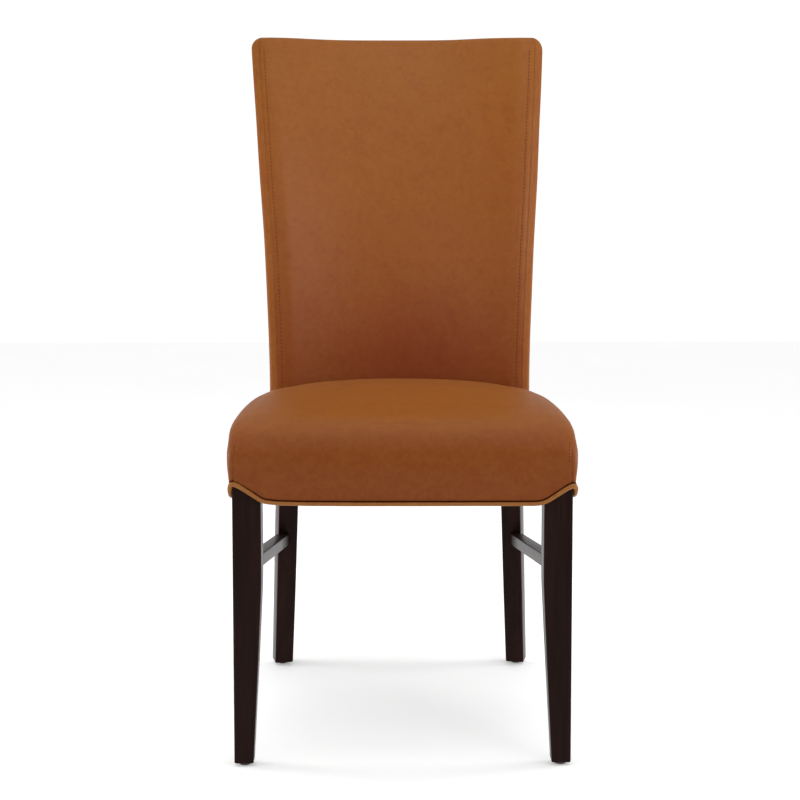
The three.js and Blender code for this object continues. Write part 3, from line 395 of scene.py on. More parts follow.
def leather(name, base, dark, light, roughness=0.41, grain=1.0, low=None, high=None, gloss=0.155, shade_spot=None):
    """Smooth finished hide: soft clouds of colour, fine pores and creases.
    Light and shade can be painted into its colour: a tint below one height (low) and above another (high), each given
    as the two heights and the tint, and painted shade round one spot, given as x, z, the two radii and the tint."""
    t = Tree(name)
    clouds = t.noise(7.0, 4, 0.55, distortion=0.4)
    fine = t.noise(38.0, 4, 0.6)
    c = t.ramp(clouds, [(0.32, dark), (0.5, base), (0.70, light)])
    red = tuple(x * y for x, y in zip(base, (0.91, 0.80, 0.80)))
    gold = tuple(x * y for x, y in zip(base, (1.07, 1.20, 1.22)))
    speck = t.ramp(fine, [(0.36, red), (0.5, base), (0.64, gold)])
    c = t.mix(0.5, c, speck)
    mott = t.ramp(t.noise(120.0, 5, 0.68, distortion=0.8), [(0.36, red), (0.5, base), (0.64, gold)])
    c = t.mix(0.55, c, mott)
    height = t.n.new("ShaderNodeSeparateXYZ")
    t.link(t.co, height.inputs[0])
    # painted light and shade: the colour is tinted below the low zone's heights and above the high zone's
    for zone, lower in ((low, True), (high, False)):
        if zone:
            z0, z1, k = zone
            stops = [(0.0, k), (1.0, (1, 1, 1))] if lower else [(0.0, (1, 1, 1)), (1.0, k)]
            c = t.mix(1.0, c, t.ramp(t.range(height.outputs["Z"], 0.0, 1.0, z0, z1), stops), "MULTIPLY")
    # painted shade: the colour is darker and redder round one spot
    if shade_spot:
        x, z, rx, rz, k = shade_spot
        v = t.mapping((1 / rx, 0.0, 1 / rz))
        v.node.inputs["Location"].default_value = (-x / rx, 0.0, -z / rz)
        spot = t.n.new("ShaderNodeTexGradient")
        spot.gradient_type = "SPHERICAL"
        t.link(v, spot.inputs["Vector"])
        half = tuple(0.45 + 0.55 * q for q in k)
        c = t.mix(1.0, c, t.ramp(spot.outputs["Fac"], [(0.0, (1, 1, 1)), (0.35, half), (0.7, k)]), "MULTIPLY")
    pores = t.voronoi(950.0)
    cells = t.voronoi(520.0, "SMOOTH_F1")
    creases = t.noise(170.0, 5, 0.6)
    pore_tint = t.range(pores, 0.90, 1.0, 0.0, 0.35)
    shade = t.n.new("ShaderNodeMix")
    shade.data_type = "RGBA"
    shade.blend_type = "MULTIPLY"
    shade.inputs[0].default_value = 1.0
    t.link(c, shade.inputs[6])
    t.link(pore_tint, shade.inputs[7])
    rough = t.range(t.noise(24.0, 3, 0.6), roughness - 0.05, roughness + 0.06)
    nb = t.bump(creases, 0.10 * grain, 0.0012)
    nb = t.bump(cells, 0.16 * grain, 0.0004, nb)
    nb = t.bump(pores, 0.10 * grain, 0.0002, nb)
    return t.set(
        Base_Color=shade.outputs[2], Roughness=rough, Normal=nb, Specular_IOR_Level=gloss,
        Sheen_Weight=0.02, Sheen_Roughness=0.4,
    )


def lacquered(name, along, coat=0.26):
    """Espresso-stained wood under gloss lacquer; the grain runs along one axis."""
    t = Tree(name)
    s = {"X": (0.06, 1, 1), "Y": (1, 0.06, 1), "Z": (1, 1, 0.05)}[along]
    v = t.mapping(s)
    grain = t.noise(260.0, 6, 0.65, v, 0.3)
    broad = t.noise(46.0, 3, 0.5, v, 0.6)
    c = t.ramp(grain, [(0.30, (0.0095, 0.0036, 0.0026)), (0.55, (0.0170, 0.0062, 0.0044)), (0.75, (0.030, 0.0105, 0.0072))])
    c2 = t.ramp(broad, [(0.35, (0.0105, 0.0042, 0.0032)), (0.70, (0.028, 0.0100, 0.0072))])
    c = t.mix(0.45, c, c2)
    rough = t.range(grain, 0.30, 0.42)
    nb = t.bump(grain, 0.12, 0.0004)
    return t.set(
        Base_Color=c, Roughness=rough, Normal=nb, Specular_IOR_Level=0.06,
        Coat_Weight=coat, Coat_Roughness=0.12, Coat_IOR=1.10,
    )


def raw_wood(name, a, b, along):
    t = Tree(name)
    s = {"X": (0.07, 1, 1), "Y": (1, 0.07, 1), "Z": (1, 1, 0.07)}[along]
    v = t.mapping(s)
    grain = t.noise(190.0, 6, 0.6, v, 0.5)
    rings = t.wave(26.0, v, 6.0, 3.0)
    c = t.mix(0.4, t.ramp(grain, [(0.3, a), (0.7, b)]), t.ramp(rings, [(0.0, a), (1.0, b)]))
    nb = t.bump(grain, 0.2, 0.0005)
    return t.set(Base_Color=c, Roughness=t.range(grain, 0.6, 0.8), Normal=nb)


def woven(name, a, b, pitch=0.0011, rough=0.85):
    t = Tree(name)
    k = 2 * math.pi / pitch / 10
    w1 = t.wave(k / 2, direction="X")
    w2 = t.wave(k / 2, direction="Y")
    h = t.math("MULTIPLY", w1, w2)
    fuzz = t.noise(900.0, 3, 0.6)
    c = t.mix(0.3, t.ramp(h, [(0.1, a), (0.8, b)]), t.ramp(fuzz, [(0.3, a), (0.7, b)]))
    nb = t.bump(h, 0.5, 0.0004)
    return t.set(Base_Color=c, Roughness=rough, Normal=nb, Sheen_Weight=0.15)


def fibrous(name, a, b, scale=700.0, shine=0.5, sheen=0.2):
    t = Tree(name)
    h = t.noise(scale, 5, 0.65, distortion=1.2)
    big = t.noise(60.0, 3, 0.5)
    c = t.mix(0.4, t.ramp(h, [(0.3, a), (0.7, b)]), t.ramp(big, [(0.35, a), (0.65, b)]))
    return t.set(Base_Color=c, Roughness=0.95, Normal=t.bump(h, 0.5, 0.0006), Specular_IOR_Level=shine, Sheen_Weight=sheen)


def metal(name, color, rough):
    t = Tree(name)
    h = t.noise(500.0, 4, 0.6)
    c = t.ramp(h, [(0.3, tuple(x * 0.85 for x in color)), (0.7, color)])
    return t.set(Base_Color=c, Metallic=1.0, Roughness=t.range(h, rough, rough + 0.15), Normal=t.bump(h, 0.1, 0.0002))


def plastic(name, color):
    t = Tree(name)
    h = t.noise(420.0, 4, 0.6)
    c = t.ramp(h, [(0.3, tuple(x * 0.8 for x in color)), (0.7, color)])
    return t.set(Base_Color=c, Roughness=t.range(h, 0.42, 0.6), Normal=t.bump(h, 0.15, 0.0002))


HIDE_BASE, HIDE_DARK, HIDE_LIGHT = (0.2149, 0.0572, 0.0069), (0.1927, 0.0490, 0.0055), (0.2378, 0.0670, 0.0084)
HIDE = leather("leather_cognac", HIDE_BASE, HIDE_DARK, HIDE_LIGHT)
# the back's hide: painted shade makes it darker and redder low down above the seat and round a spot at the middle of
# its base; painted light tints its upper part golden, with less blue to take off its reflection
BACK_HIDE = leather("leather_back", HIDE_BASE, HIDE_DARK, HIDE_LIGHT, low=(0.47, 0.66, (0.92, 0.79, 0.86)), high=(0.66, 0.95, (0.99, 1.09, 0.5)), shade_spot=(0.02, 0.50, 0.15, 0.13, (0.93, 0.74, 0.80)))
# the seat's hide: painted light makes its top lighter and golden, with less blue to take off its reflection; painted
# shade makes its front darker and redder towards the bottom
SEAT_HIDE = leather(
    "leather_seat", *[tuple(c * k for c, k in zip(t, (1, 1.02, 1.5))) for t in (HIDE_BASE, HIDE_DARK, HIDE_LIGHT)],
    high=(0.435, 0.462, (1.06, 1.10, 0.3)), low=(0.36, 0.44, (0.98, 0.90, 0.85)), gloss=0.11,
)
# the gussets' hide: a lighter, yellower copy of the hide, painted light standing in for the light on these sideways
# faces, with painted shade making its upper part darker
SIDE = leather(
    "leather_gusset", *[tuple(c * k for c, k in zip(t, (1.13, 1.28, 2.1))) for t in (HIDE_BASE, HIDE_DARK, HIDE_LIGHT)],
    high=(0.62, 0.95, (0.91, 0.94, 0.85)), gloss=0.11,
)
PIPE = leather("leather_piping", (0.305, 0.114, 0.025), (0.27, 0.098, 0.020), (0.34, 0.132, 0.031), 0.36, 0.8)
THREAD = fibrous("thread_brown", (0.17, 0.050, 0.012), (0.23, 0.070, 0.018), 1500.0, 0.12, 0.02)
HOLE = fibrous("thread_shadow", (0.070, 0.019, 0.006), (0.100, 0.027, 0.008), 1500.0, 0.08, 0.0)
# painted shade: near-black for the piping flange's bead, standing in for the shade in the groove above the piping
GROOVE_SHADE = fibrous("piping_groove_painted_shade", (0.030, 0.0045, 0.0012), (0.045, 0.008, 0.002), 1500.0, 0.05, 0.0)
WOOD_Z = lacquered("lacquer_upright", "Z")
WOOD_Y = lacquered("lacquer_stretcher", "Y")
RAW_X = raw_wood("beech_across", (0.40, 0.26, 0.14), (0.60, 0.43, 0.26), "X")
RAW_Y = raw_wood("beech_along", (0.40, 0.26, 0.14), (0.60, 0.43, 0.26), "Y")
PLY = raw_wood("plywood_bent", (0.36, 0.23, 0.12), (0.53, 0.37, 0.21), "Z")
FOAM = fibrous("foam_cream", (0.70, 0.64, 0.47), (0.82, 0.76, 0.60), 900.0)
WADDING = fibrous("wadding_white", (0.78, 0.77, 0.74), (0.90, 0.89, 0.87), 320.0)
WEBBING = woven("webbing_grey", (0.055, 0.050, 0.046), (0.13, 0.12, 0.11), 0.0022)
CLOTH = fibrous("cloth_black", (0.009, 0.009, 0.010), (0.022, 0.022, 0.024), 800.0)
STEEL = metal("steel_zinc", (0.50, 0.50, 0.49), 0.30)
NYLON = plastic("nylon_glide", (0.020, 0.018, 0.016))

# --------------------------------------------------------- the back's form
backW = curve(BACK_W)
backEdgeY = curve(BACK_Y)
W_TOP = float(backW(HEIGHT))


def backFront(x, z):
    w = backW(z)
    sag = BACK_SAG * (w / W_TOP) ** 2
    return backEdgeY(z) + sag * (1 - (np.asarray(x, float) / w) ** 2)


postW = curve([[r[0], r[1]] for r in POST_SIZE])
postD = curve([[r[0], r[2]] for r in POST_SIZE])
postYaw = curve([[r[0], math.radians(r[3])] for r in POST_SIZE])


def backT(z):
    z = np.minimum(z, 990.0)
    return postD(z) / np.cos(postYaw(z)) + 21.2


def _post_path():
    rows = [list(r) for r in POST_LOW]
    for z in (457, 520, 600, 700, 800, 900, POST_TOP):
        w, d, a = float(postW(z)), float(postD(z)), float(postYaw(z))
        x = float(backW(z)) - 11.5 - w / 2 * math.cos(a) - d / 2 * math.sin(a)
        face = x - d / 2 * math.sin(a)
        rows.append([z, x, float(backFront(face, z)) + 14.6 + d / 2 * math.cos(a)])
    return rows


_pp = _post_path()
postX = curve([[r[0], r[1]] for r in _pp])
postY = curve([[r[0], r[2]] for r in _pp])


def postFaceY(x, z):
    return postY(z) - postD(z) / 2 / np.cos(postYaw(z)) - (x - postX(z)) * np.tan(postYaw(z))


# --------------------------------------------------------------- the wood
def rounded_rect(hw, hd, r, seg=5):
    """Outline of a rectangle with rounded arrises, centred, counter-clockwise."""
    pts = []
    for cx, cy, a0 in ((1, -1, -90), (1, 1, 0), (-1, 1, 90), (-1, -1, 180)):
        for k in range(seg + 1):
            a = math.radians(a0 + 90 * k / seg)
            pts.append([cx * (hw - r) + r * math.cos(a), cy * (hd - r) + r * math.sin(a)])
    return np.array(pts)


taper = curve(LEG_TAPER)


def leg_rings():
    zs = [GLIDE_H, GLIDE_H + 0.5, GLIDE_H + 1.3, GLIDE_H + 2.2] + list(np.linspace(10, FRAME_TOP, 90))
    rings = []
    for z in zs:
        t = float(taper(z))
        x0 = LEG_OUT - LEG_W + t
        x1 = LEG_OUT + LEG_SPLAY * (1 - z / FRAME_TOP)
        y0, y1 = LEG_FRONT, LEG_FRONT + LEG_W - t
        ease = max(0.0, 1.8 * (1 - (z - GLIDE_H) / 2.2)) if z < GLIDE_H + 2.2 else 0.0
        ease = 1.8 - math.sqrt(max(0.0, 1.8**2 - ease**2)) if ease else 0.0
        o = rounded_rect((x1 - x0) / 2 - ease, (y1 - y0) / 2 - ease, 1.9)
        rings.append(np.column_stack([o[:, 0] + (x0 + x1) / 2, o[:, 1] + (y0 + y1) / 2, np.full(len(o), z)]))
    return np.array(rings)


def post_rings():
    zs = [GLIDE_H, GLIDE_H + 0.5, GLIDE_H + 1.3, GLIDE_H + 2.2] + list(np.linspace(10, POST_TOP, 160))
    rings = []
    for z in zs:
        a = float(postYaw(z))
        ease = max(0.0, 1.6 * (1 - (z - GLIDE_H) / 2.2)) if z < GLIDE_H + 2.2 else 0.0
        ease = 1.6 - math.sqrt(max(0.0, 1.6**2 - ease**2)) if ease else 0.0
        o = rounded_rect(float(postW(z)) / 2 - ease, float(postD(z)) / 2 - ease, 1.9)
        x = float(postX(z)) + o[:, 0] * math.cos(a) + o[:, 1] * math.sin(a)
        y = float(postY(z)) - o[:, 0] * math.sin(a) + o[:, 1] * math.cos(a)
        rings.append(np.column_stack([x, y, np.full(len(o), z)]))
    return np.array(rings)


def flipped(rings):
    return rings * np.array([-1.0, 1.0, 1.0])


def stretcher_rings():
    w, h, xf, zf, xr, zr = 21.0, 18.0, 199.8, 251.0, 174.3, 209.0
    y0 = LEG_FRONT + LEG_W
    o = rounded_rect(w / 2, h / 2, 1.6)
    rings = []
    for t in np.linspace(0, 1, 60):
        x = xf + (xr - xf) * t + w / 2 + o[:, 0]
        z = zf + (zr - zf) * t + h / 2 + o[:, 1]
        y_end = postFaceY(x, z) - 0.15
        rings.append(np.column_stack([x, (y0 + 0.15) * (1 - t) + y_end * t, z]))
    return np.array(rings)


for side, k in (("right", 1), ("left", -1)):
    turn = (lambda r: r) if k == 1 else flipped
    leg = loft("leg_front_" + side, turn(leg_rings()), WOOD_Z)
    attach(leg, "root"), leg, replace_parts(leg, "front_leg_" + side)
    post = loft("post_rear_" + side, turn(post_rings()), WOOD_Z)
    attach(post, "root"), post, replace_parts(post, "rear_post_" + side)
    bar = loft("stretcher_" + side, turn(stretcher_rings()), WOOD_Y)
    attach(bar, "root"), bar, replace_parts(bar, "side_stretcher_" + side)

# ---------------------------------------------------------------- the seat
seatHalf = curve(SEAT_HALF)
seatBulge = curve(SEAT_BULGE)
seatEdge = curve(SEAT_EDGE)
seatMid = curve(SEAT_MID)


def outline(out, inset, r, counts):
    """Half outline of the seat, from the middle of the front to the middle of
    the rear; counts gives the steps on the front, corner, side, rear corner
    and rear."""
    n1, n2, n3, n4, n5 = counts
    rearR = min(12 + inset * 0.4, 60)
    y0 = RIM_Y - out * 5 + inset
    side = lambda y: seatHalf(y) + out * seatBulge(y) - inset
    tuck = inset * 0.3 if inset < SEAT_ROLL else inset - SEAT_ROLL * 0.7
    rearY = lambda x: np.minimum(backFront(x, 420.0), backFront(x, 440.0)) - 1 - tuck
    xf = float(side(RIM_Y))
    pts = [np.column_stack([np.linspace(0, xf - r, n1, endpoint=False), np.full(n1, y0)])]
    a = np.linspace(0, math.pi / 2, n2, endpoint=False)
    pts.append(np.column_stack([xf - r + r * np.sin(a), y0 + r - r * np.cos(a)]))
    yEnd = float(rearY(side(386.0))) - rearR
    y = np.linspace(y0 + r, yEnd, n3, endpoint=False)
    pts.append(np.column_stack([side(y), y]))
    xs = float(side(yEnd))
    a = np.linspace(0, math.pi / 2, n4, endpoint=False)
    pts.append(
        np.column_stack([xs - rearR + rearR * np.cos(a), float(rearY(xs - rearR)) - rearR + rearR * np.sin(a)])
    )
    x = np.linspace(xs - rearR, 0, n5 + 1)
    pts.append(np.column_stack([x, rearY(x)]))
    p = np.concatenate(pts)
    # soften the rear corner, where the curve of the back meets the side
    full = np.concatenate([p, (p * [-1, 1])[-2:0:-1]])
    soft = full.copy()
    for _ in range(30):
        soft = (np.roll(soft, 1, 0) + 2 * soft + np.roll(soft, -1, 0)) / 4
    w = smooth(300, 350, full[:, 1])[:, None]
    full = full * (1 - w) + soft * w
    return full  # 2 * (n1 + .. + n5) points


def rim_z(counts, rear_lift):
    """Height of the cover's lower edge at each column of the outline."""
    p = outline(0, 0, 6, counts)
    n1, n2, n3 = counts[:3]
    n = len(p)
    idx = np.arange(n)
    col = np.minimum(idx, n - idx)
    drop = np.ones(n)
    front = col < n1
    away = (float(seatHalf(RIM_Y)) - 6) - np.abs(p[front, 0])
    drop[front] = np.where(p[front, 0] < 0, curve(NOTCH_FRONT_LEFT)(away), curve(NOTCH_FRONT_RIGHT)(away))
    corner = (col >= n1) & (col < n1 + n2)
    turn = (col[corner] - n1) / n2
    drop[corner] = np.where(p[corner, 0] < 0, curve(NOTCH_CORNER_LEFT)(turn), curve(NOTCH_CORNER_RIGHT)(turn))
    side = (col >= n1 + n2) & (p[:, 1] < 130)
    drop[side] = curve(NOTCH_SIDE)(p[side, 1] - (RIM_Y + 6))
    z = NOTCH_TOP + (RIM_Z - NOTCH_TOP) * drop
    return np.maximum(z, RIM_Z + (TUCK_Z - RIM_Z) * rear_lift)


def top_z(x, y):
    half = seatHalf(y) + 2
    u = np.minimum(1, np.abs(x) / half)
    e = seatEdge(y) + 1.5
    return e + (seatMid(y) - e) * (1 - u**2.4)


def seat_rings(skin, counts, walls, rolls):
    """Rings of the cover from its lower edge to the end of its rounded edge."""
    n = 2 * sum(counts)
    idx = np.arange(n)
    far = np.minimum(np.abs(idx - n / 2), n - np.abs(idx - n / 2))
    n45 = counts[3] + counts[4]
    lift = 1 - smooth(n45 - counts[3] * 0.95, n45 - counts[3] * 0.2, far)
    rings = []
    low = rim_z(counts, lift)
    widest = lambda p: np.maximum(low + 8, SEAT_WIDEST - np.maximum(0, 12 - p[:, 1]) * 0.15)
    for f in walls:
        out = math.sin(f * math.pi / 2) ** 1.15
        r = 6 + 11 * f**1.2
        ring = outline(out, skin * min(1, f * 4), max(4, r - skin), counts)
        hi = widest(ring)
        rings.append(np.column_stack([ring, low + (hi - low) * f]))
    for a in rolls:
        inset = SEAT_ROLL * (1 - math.cos(a))
        ring = outline(1, inset + skin, 17 + inset, counts)
        base = widest(ring)
        z = base + (top_z(ring[:, 0], ring[:, 1]) - skin - base) * math.sin(a)
        rings.append(np.column_stack([ring, z]))
    return np.array(rings)


def coons(ring, counts):
    """Fills a ring with a square grid; its corners are at the middle of the
    seat's four rounded corners."""
    n1, n2, n3, n4, n5 = counts
    n = len(ring)
    c_fr = n1 + n2 // 2  # front right
    c_rr = n1 + n2 + n3 + n4 // 2  # rear right
    c_rl = n - c_rr
    c_fl = n - c_fr
    front = np.concatenate([ring[c_fl:], ring[: c_fr + 1]])  # left to right
    right = ring[c_fr : c_rr + 1]  # front to rear
    rear = ring[c_rr : c_rl + 1][::-1]  # left to right
    left = ring[c_rl : c_fl + 1][::-1]  # front to rear
    m, k = len(front), len(right)
    # the rear has its own number of points: spread them like the front's
    s = lambda a: np.concatenate([[0], np.cumsum(np.linalg.norm(np.diff(a, axis=0), axis=1))])
    sr, sf = s(rear), s(front)
    u = sf / sf[-1]
    v = s(right)
    v = v / v[-1]
    U, Vv = np.meshgrid(u, v)
    rear_i = np.stack([np.interp(u * sr[-1], sr, rear[:, d]) for d in range(3)], 1)
    P = (
        (1 - Vv)[..., None] * front[None]
        + Vv[..., None] * rear_i[None]
        + (1 - U)[..., None] * left[:, None]
        + U[..., None] * right[:, None]
        - ((1 - U) * (1 - Vv))[..., None] * front[0]
        - (U * (1 - Vv))[..., None] * front[-1]
        - ((1 - U) * Vv)[..., None] * rear_i[0]
        - (U * Vv)[..., None] * rear_i[-1]
    )
    return P, (c_fr, c_rr, c_rl, c_fl)


def equal_counts(n1, n2, n3, n4):
    """Counts whose front and rear have the same number of steps."""
    n5 = n1 + n2 // 2 - (n4 - n4 // 2)
    return (n1, n2, n3, n4, n5)


def seat_mesh(skin, counts, walls, rolls):
    """Vertices, faces and parameters of the seat's outer surface: rings, then
    the top grid, whose edge is the last ring."""
    R = seat_rings(skin, counts, walls, rolls)
    nr, n = R.shape[:2]
    top, (c_fr, c_rr, c_rl, c_fl) = coons(R[-1], counts)
    k, m = top.shape[:2]
    top[..., 2] = top_z(top[..., 0], top[..., 1]) - skin
    # number the top's vertices: its border is the last ring
    ids = np.full((k, m), -1)
    last = (nr - 1) * n
    front = np.concatenate([np.arange(c_fl, n), np.arange(0, c_fr + 1)])
    ids[0, :] = last + front
    ids[:, -1] = last + np.arange(c_fr, c_rr + 1)
    ids[-1, :] = last + np.arange(c_rr, c_rl + 1)[::-1]
    ids[:, 0] = last + np.arange(c_rl, c_fl + 1)[::-1]
    inner = [(i, j) for i in range(1, k - 1) for j in range(1, m - 1)]
    base = nr * n
    for q, (i, j) in enumerate(inner):
        ids[i, j] = base + q
    verts = np.concatenate([R.reshape(-1, 3), top[1:-1, 1:-1].reshape(-1, 3)])
    faces = [grid_faces(nr, n, wrap_m=True)]
    i, j = np.meshgrid(np.arange(k - 1), np.arange(m - 1), indexing="ij")
    i, j = i.ravel(), j.ravel()
    faces.append(np.stack([ids[i, j], ids[i, j + 1], ids[i + 1, j + 1], ids[i + 1, j]], 1))
    return verts, np.concatenate(faces), ids, (nr, n)


def vertex_normals(verts, faces):
    n = np.zeros_like(verts)
    a, b, c, d = (verts[faces[:, k]] for k in range(4))
    f = np.cross(c - a, d - b)
    for k in range(4):
        np.add.at(n, faces[:, k], f)
    return n / np.maximum(np.linalg.norm(n, axis=1, keepdims=True), 1e-12)


def inflate(name, verts, faces, pin, pressure, frames=20, stiffness=30.0, bending=2.0):
    """Fills a closed mesh with a little air as cloth; the pinned points stay.
    Gives the vertices after the last frame, in millimetres."""
    ob = mesh_object(name, verts, faces, None)
    group = ob.vertex_groups.new(name="pin")
    for w in np.unique(np.round(pin, 2)):
        if w > 0:
            group.add([int(i) for i in np.nonzero(np.round(pin, 2) == w)[0]], float(w), "REPLACE")
    scene = bpy.context.scene
    mod = ob.modifiers.new("cloth", "CLOTH")
    s = mod.settings
    s.quality = 6
    s.mass = 0.35
    s.tension_stiffness = s.compression_stiffness = stiffness
    s.shear_stiffness = stiffness * 0.5
    s.bending_stiffness = bending
    s.air_damping = 2.0
    s.use_pressure = True
    s.uniform_pressure_force = pressure
    s.vertex_group_mass = "pin"
    s.effector_weights.gravity = 0
    mod.collision_settings.use_collision = False
    mod.collision_settings.use_self_collision = False
    mod.point_cache.frame_start, mod.point_cache.frame_end = 1, frames
    scene.frame_start, scene.frame_end = 1, frames
    for f in range(1, frames + 1):
        scene.frame_set(f)
    dg = bpy.context.evaluated_depsgraph_get()
    e = ob.evaluated_get(dg)
    co = np.empty(len(verts) * 3)
    e.data.vertices.foreach_get("co", co)
    after = co.reshape(-1, 3) * 1000.0 - np.array([0, SHIFT, 0])
    me = ob.data
    bpy.data.objects.remove(ob)
    bpy.data.meshes.remove(me)
    scene.frame_set(1)
    return after


SIM_COUNTS = equal_counts(44, 6, 80, 4)
SIM_WALLS = np.linspace(0, 1, 12)
SIM_ROLLS = np.linspace(0, math.pi / 2, 9)[1:]
FINE_COUNTS = equal_counts(72, 40, 150, 16)
FINE_WALLS = np.linspace(0, 1, 30)
FINE_ROLLS = np.linspace(0, math.pi / 2, 22)[1:]
SEAT_INSET = 3.0
SEAT_CAP = 6.0
SEAT_GIVE = 0.25  # share of the filling's uneven swell that the tight cover shows
# where the dart and its stitches cross each ring of the cover: share of the
# way round the corner, from the front to the side
DART = [
    [0, 0.5], [0.06, 0.25], [0.2, 0.15], [0.41, 0.155], [0.62, 0.18], [0.83, 0.225], [1.05, 0.28],
    [1.19, 0.34], [1.33, 0.47], [1.48, 0.74], [1.6, 0.9],
]
DART_STITCH = [[0.74, 0.04], [0.8, 0.06], [0.93, 0.11], [1.05, 0.15], [1.19, 0.21], [1.33, 0.36], [1.45, 0.53], [1.52, 0.64]]


def seat_swell():
    """How far the filled seat moves out at each point of the coarse mesh."""
    verts, faces, ids, (nr, n) = seat_mesh(SEAT_INSET, SIM_COUNTS, SIM_WALLS, SIM_ROLLS)
    # close it underneath with a fan of quads towards a flat bottom
    rings = verts[: nr * n].reshape(nr, n, 3)
    low = rings[0]
    centre = np.array([0, 200.0, RIM_Z])
    steps = 10
    extra, f2 = [], []
    prev = np.arange(n)
    for q in range(1, steps):
        ring = low * (1 - q / steps) + centre * (q / steps)
        ids2 = len(verts) + (q - 1) * n + np.arange(n)
        extra.append(ring)
        f2.append(np.stack([prev, ids2, np.roll(ids2, -1), np.roll(prev, -1)], 1))
        prev = ids2
    allv = np.concatenate([verts] + extra + [centre[None]])
    quads = [tuple(q) for q in np.concatenate([faces] + f2)]
    last = len(allv) - 1
    quads += [(int(prev[j]), last, int(prev[(j + 1) % n])) for j in range(n)]
    pin = np.zeros(len(allv))
    pin[:n] = 1
    pin[n : 2 * n] = 0.6
    pin[len(verts) :] = 1
    rear = np.zeros(len(allv), bool)
    rear[: len(verts)] = verts[:, 1] > backFront(verts[:, 0], 440.0) - 14
    rear[: len(verts)] &= verts[:, 2] < 452
    pin[rear] = 1
    after = inflate("seat_sim", allv, quads, pin, 2.2)
    d = after[: len(verts)] - verts
    length = np.linalg.norm(d, axis=1, keepdims=True)
    d *= np.minimum(1, SEAT_CAP / np.maximum(length, 1e-9))
    return verts, faces, ids, (nr, n), d


def resample_grid(field, u0, v0, u1, v1, wrap):
    """Linear interpolation of a grid field from the coordinates u0, v0 of its
    rows and columns to u1, v1."""
    i = np.clip(np.searchsorted(u0, u1, side="right") - 1, 0, len(u0) - 2)
    a = ((u1 - u0[i]) / (u0[i + 1] - u0[i]))[:, None, None]
    rows = field[i] * (1 - a) + field[i + 1] * a
    if wrap:
        vv = np.concatenate([v0, [1.0]])
        rows = np.concatenate([rows, rows[:, :1]], 1)
    else:
        vv = v0
    j = np.clip(np.searchsorted(vv, v1, side="right") - 1, 0, len(vv) - 2)
    b = ((v1 - vv[j]) / (vv[j + 1] - vv[j]))[None, :, None]
    return rows[:, j] * (1 - b) + rows[:, j + 1] * b


def arc_param(counts):
    """Position of each column round the ring, 0 to 1, the same for coarse and
    fine meshes at the ends of the segments."""
    n1, n2, n3, n4, n5 = counts
    marks = [0, 0.125, 0.14, 0.35, 0.37, 0.5]
    v = []
    for q, k in enumerate((n1, n2, n3, n4, n5)):
        v.append(np.linspace(marks[q], marks[q + 1], k, endpoint=False))
    half = np.concatenate(v + [[0.5]])
    return np.concatenate([half, 1 - half[-2:0:-1]])


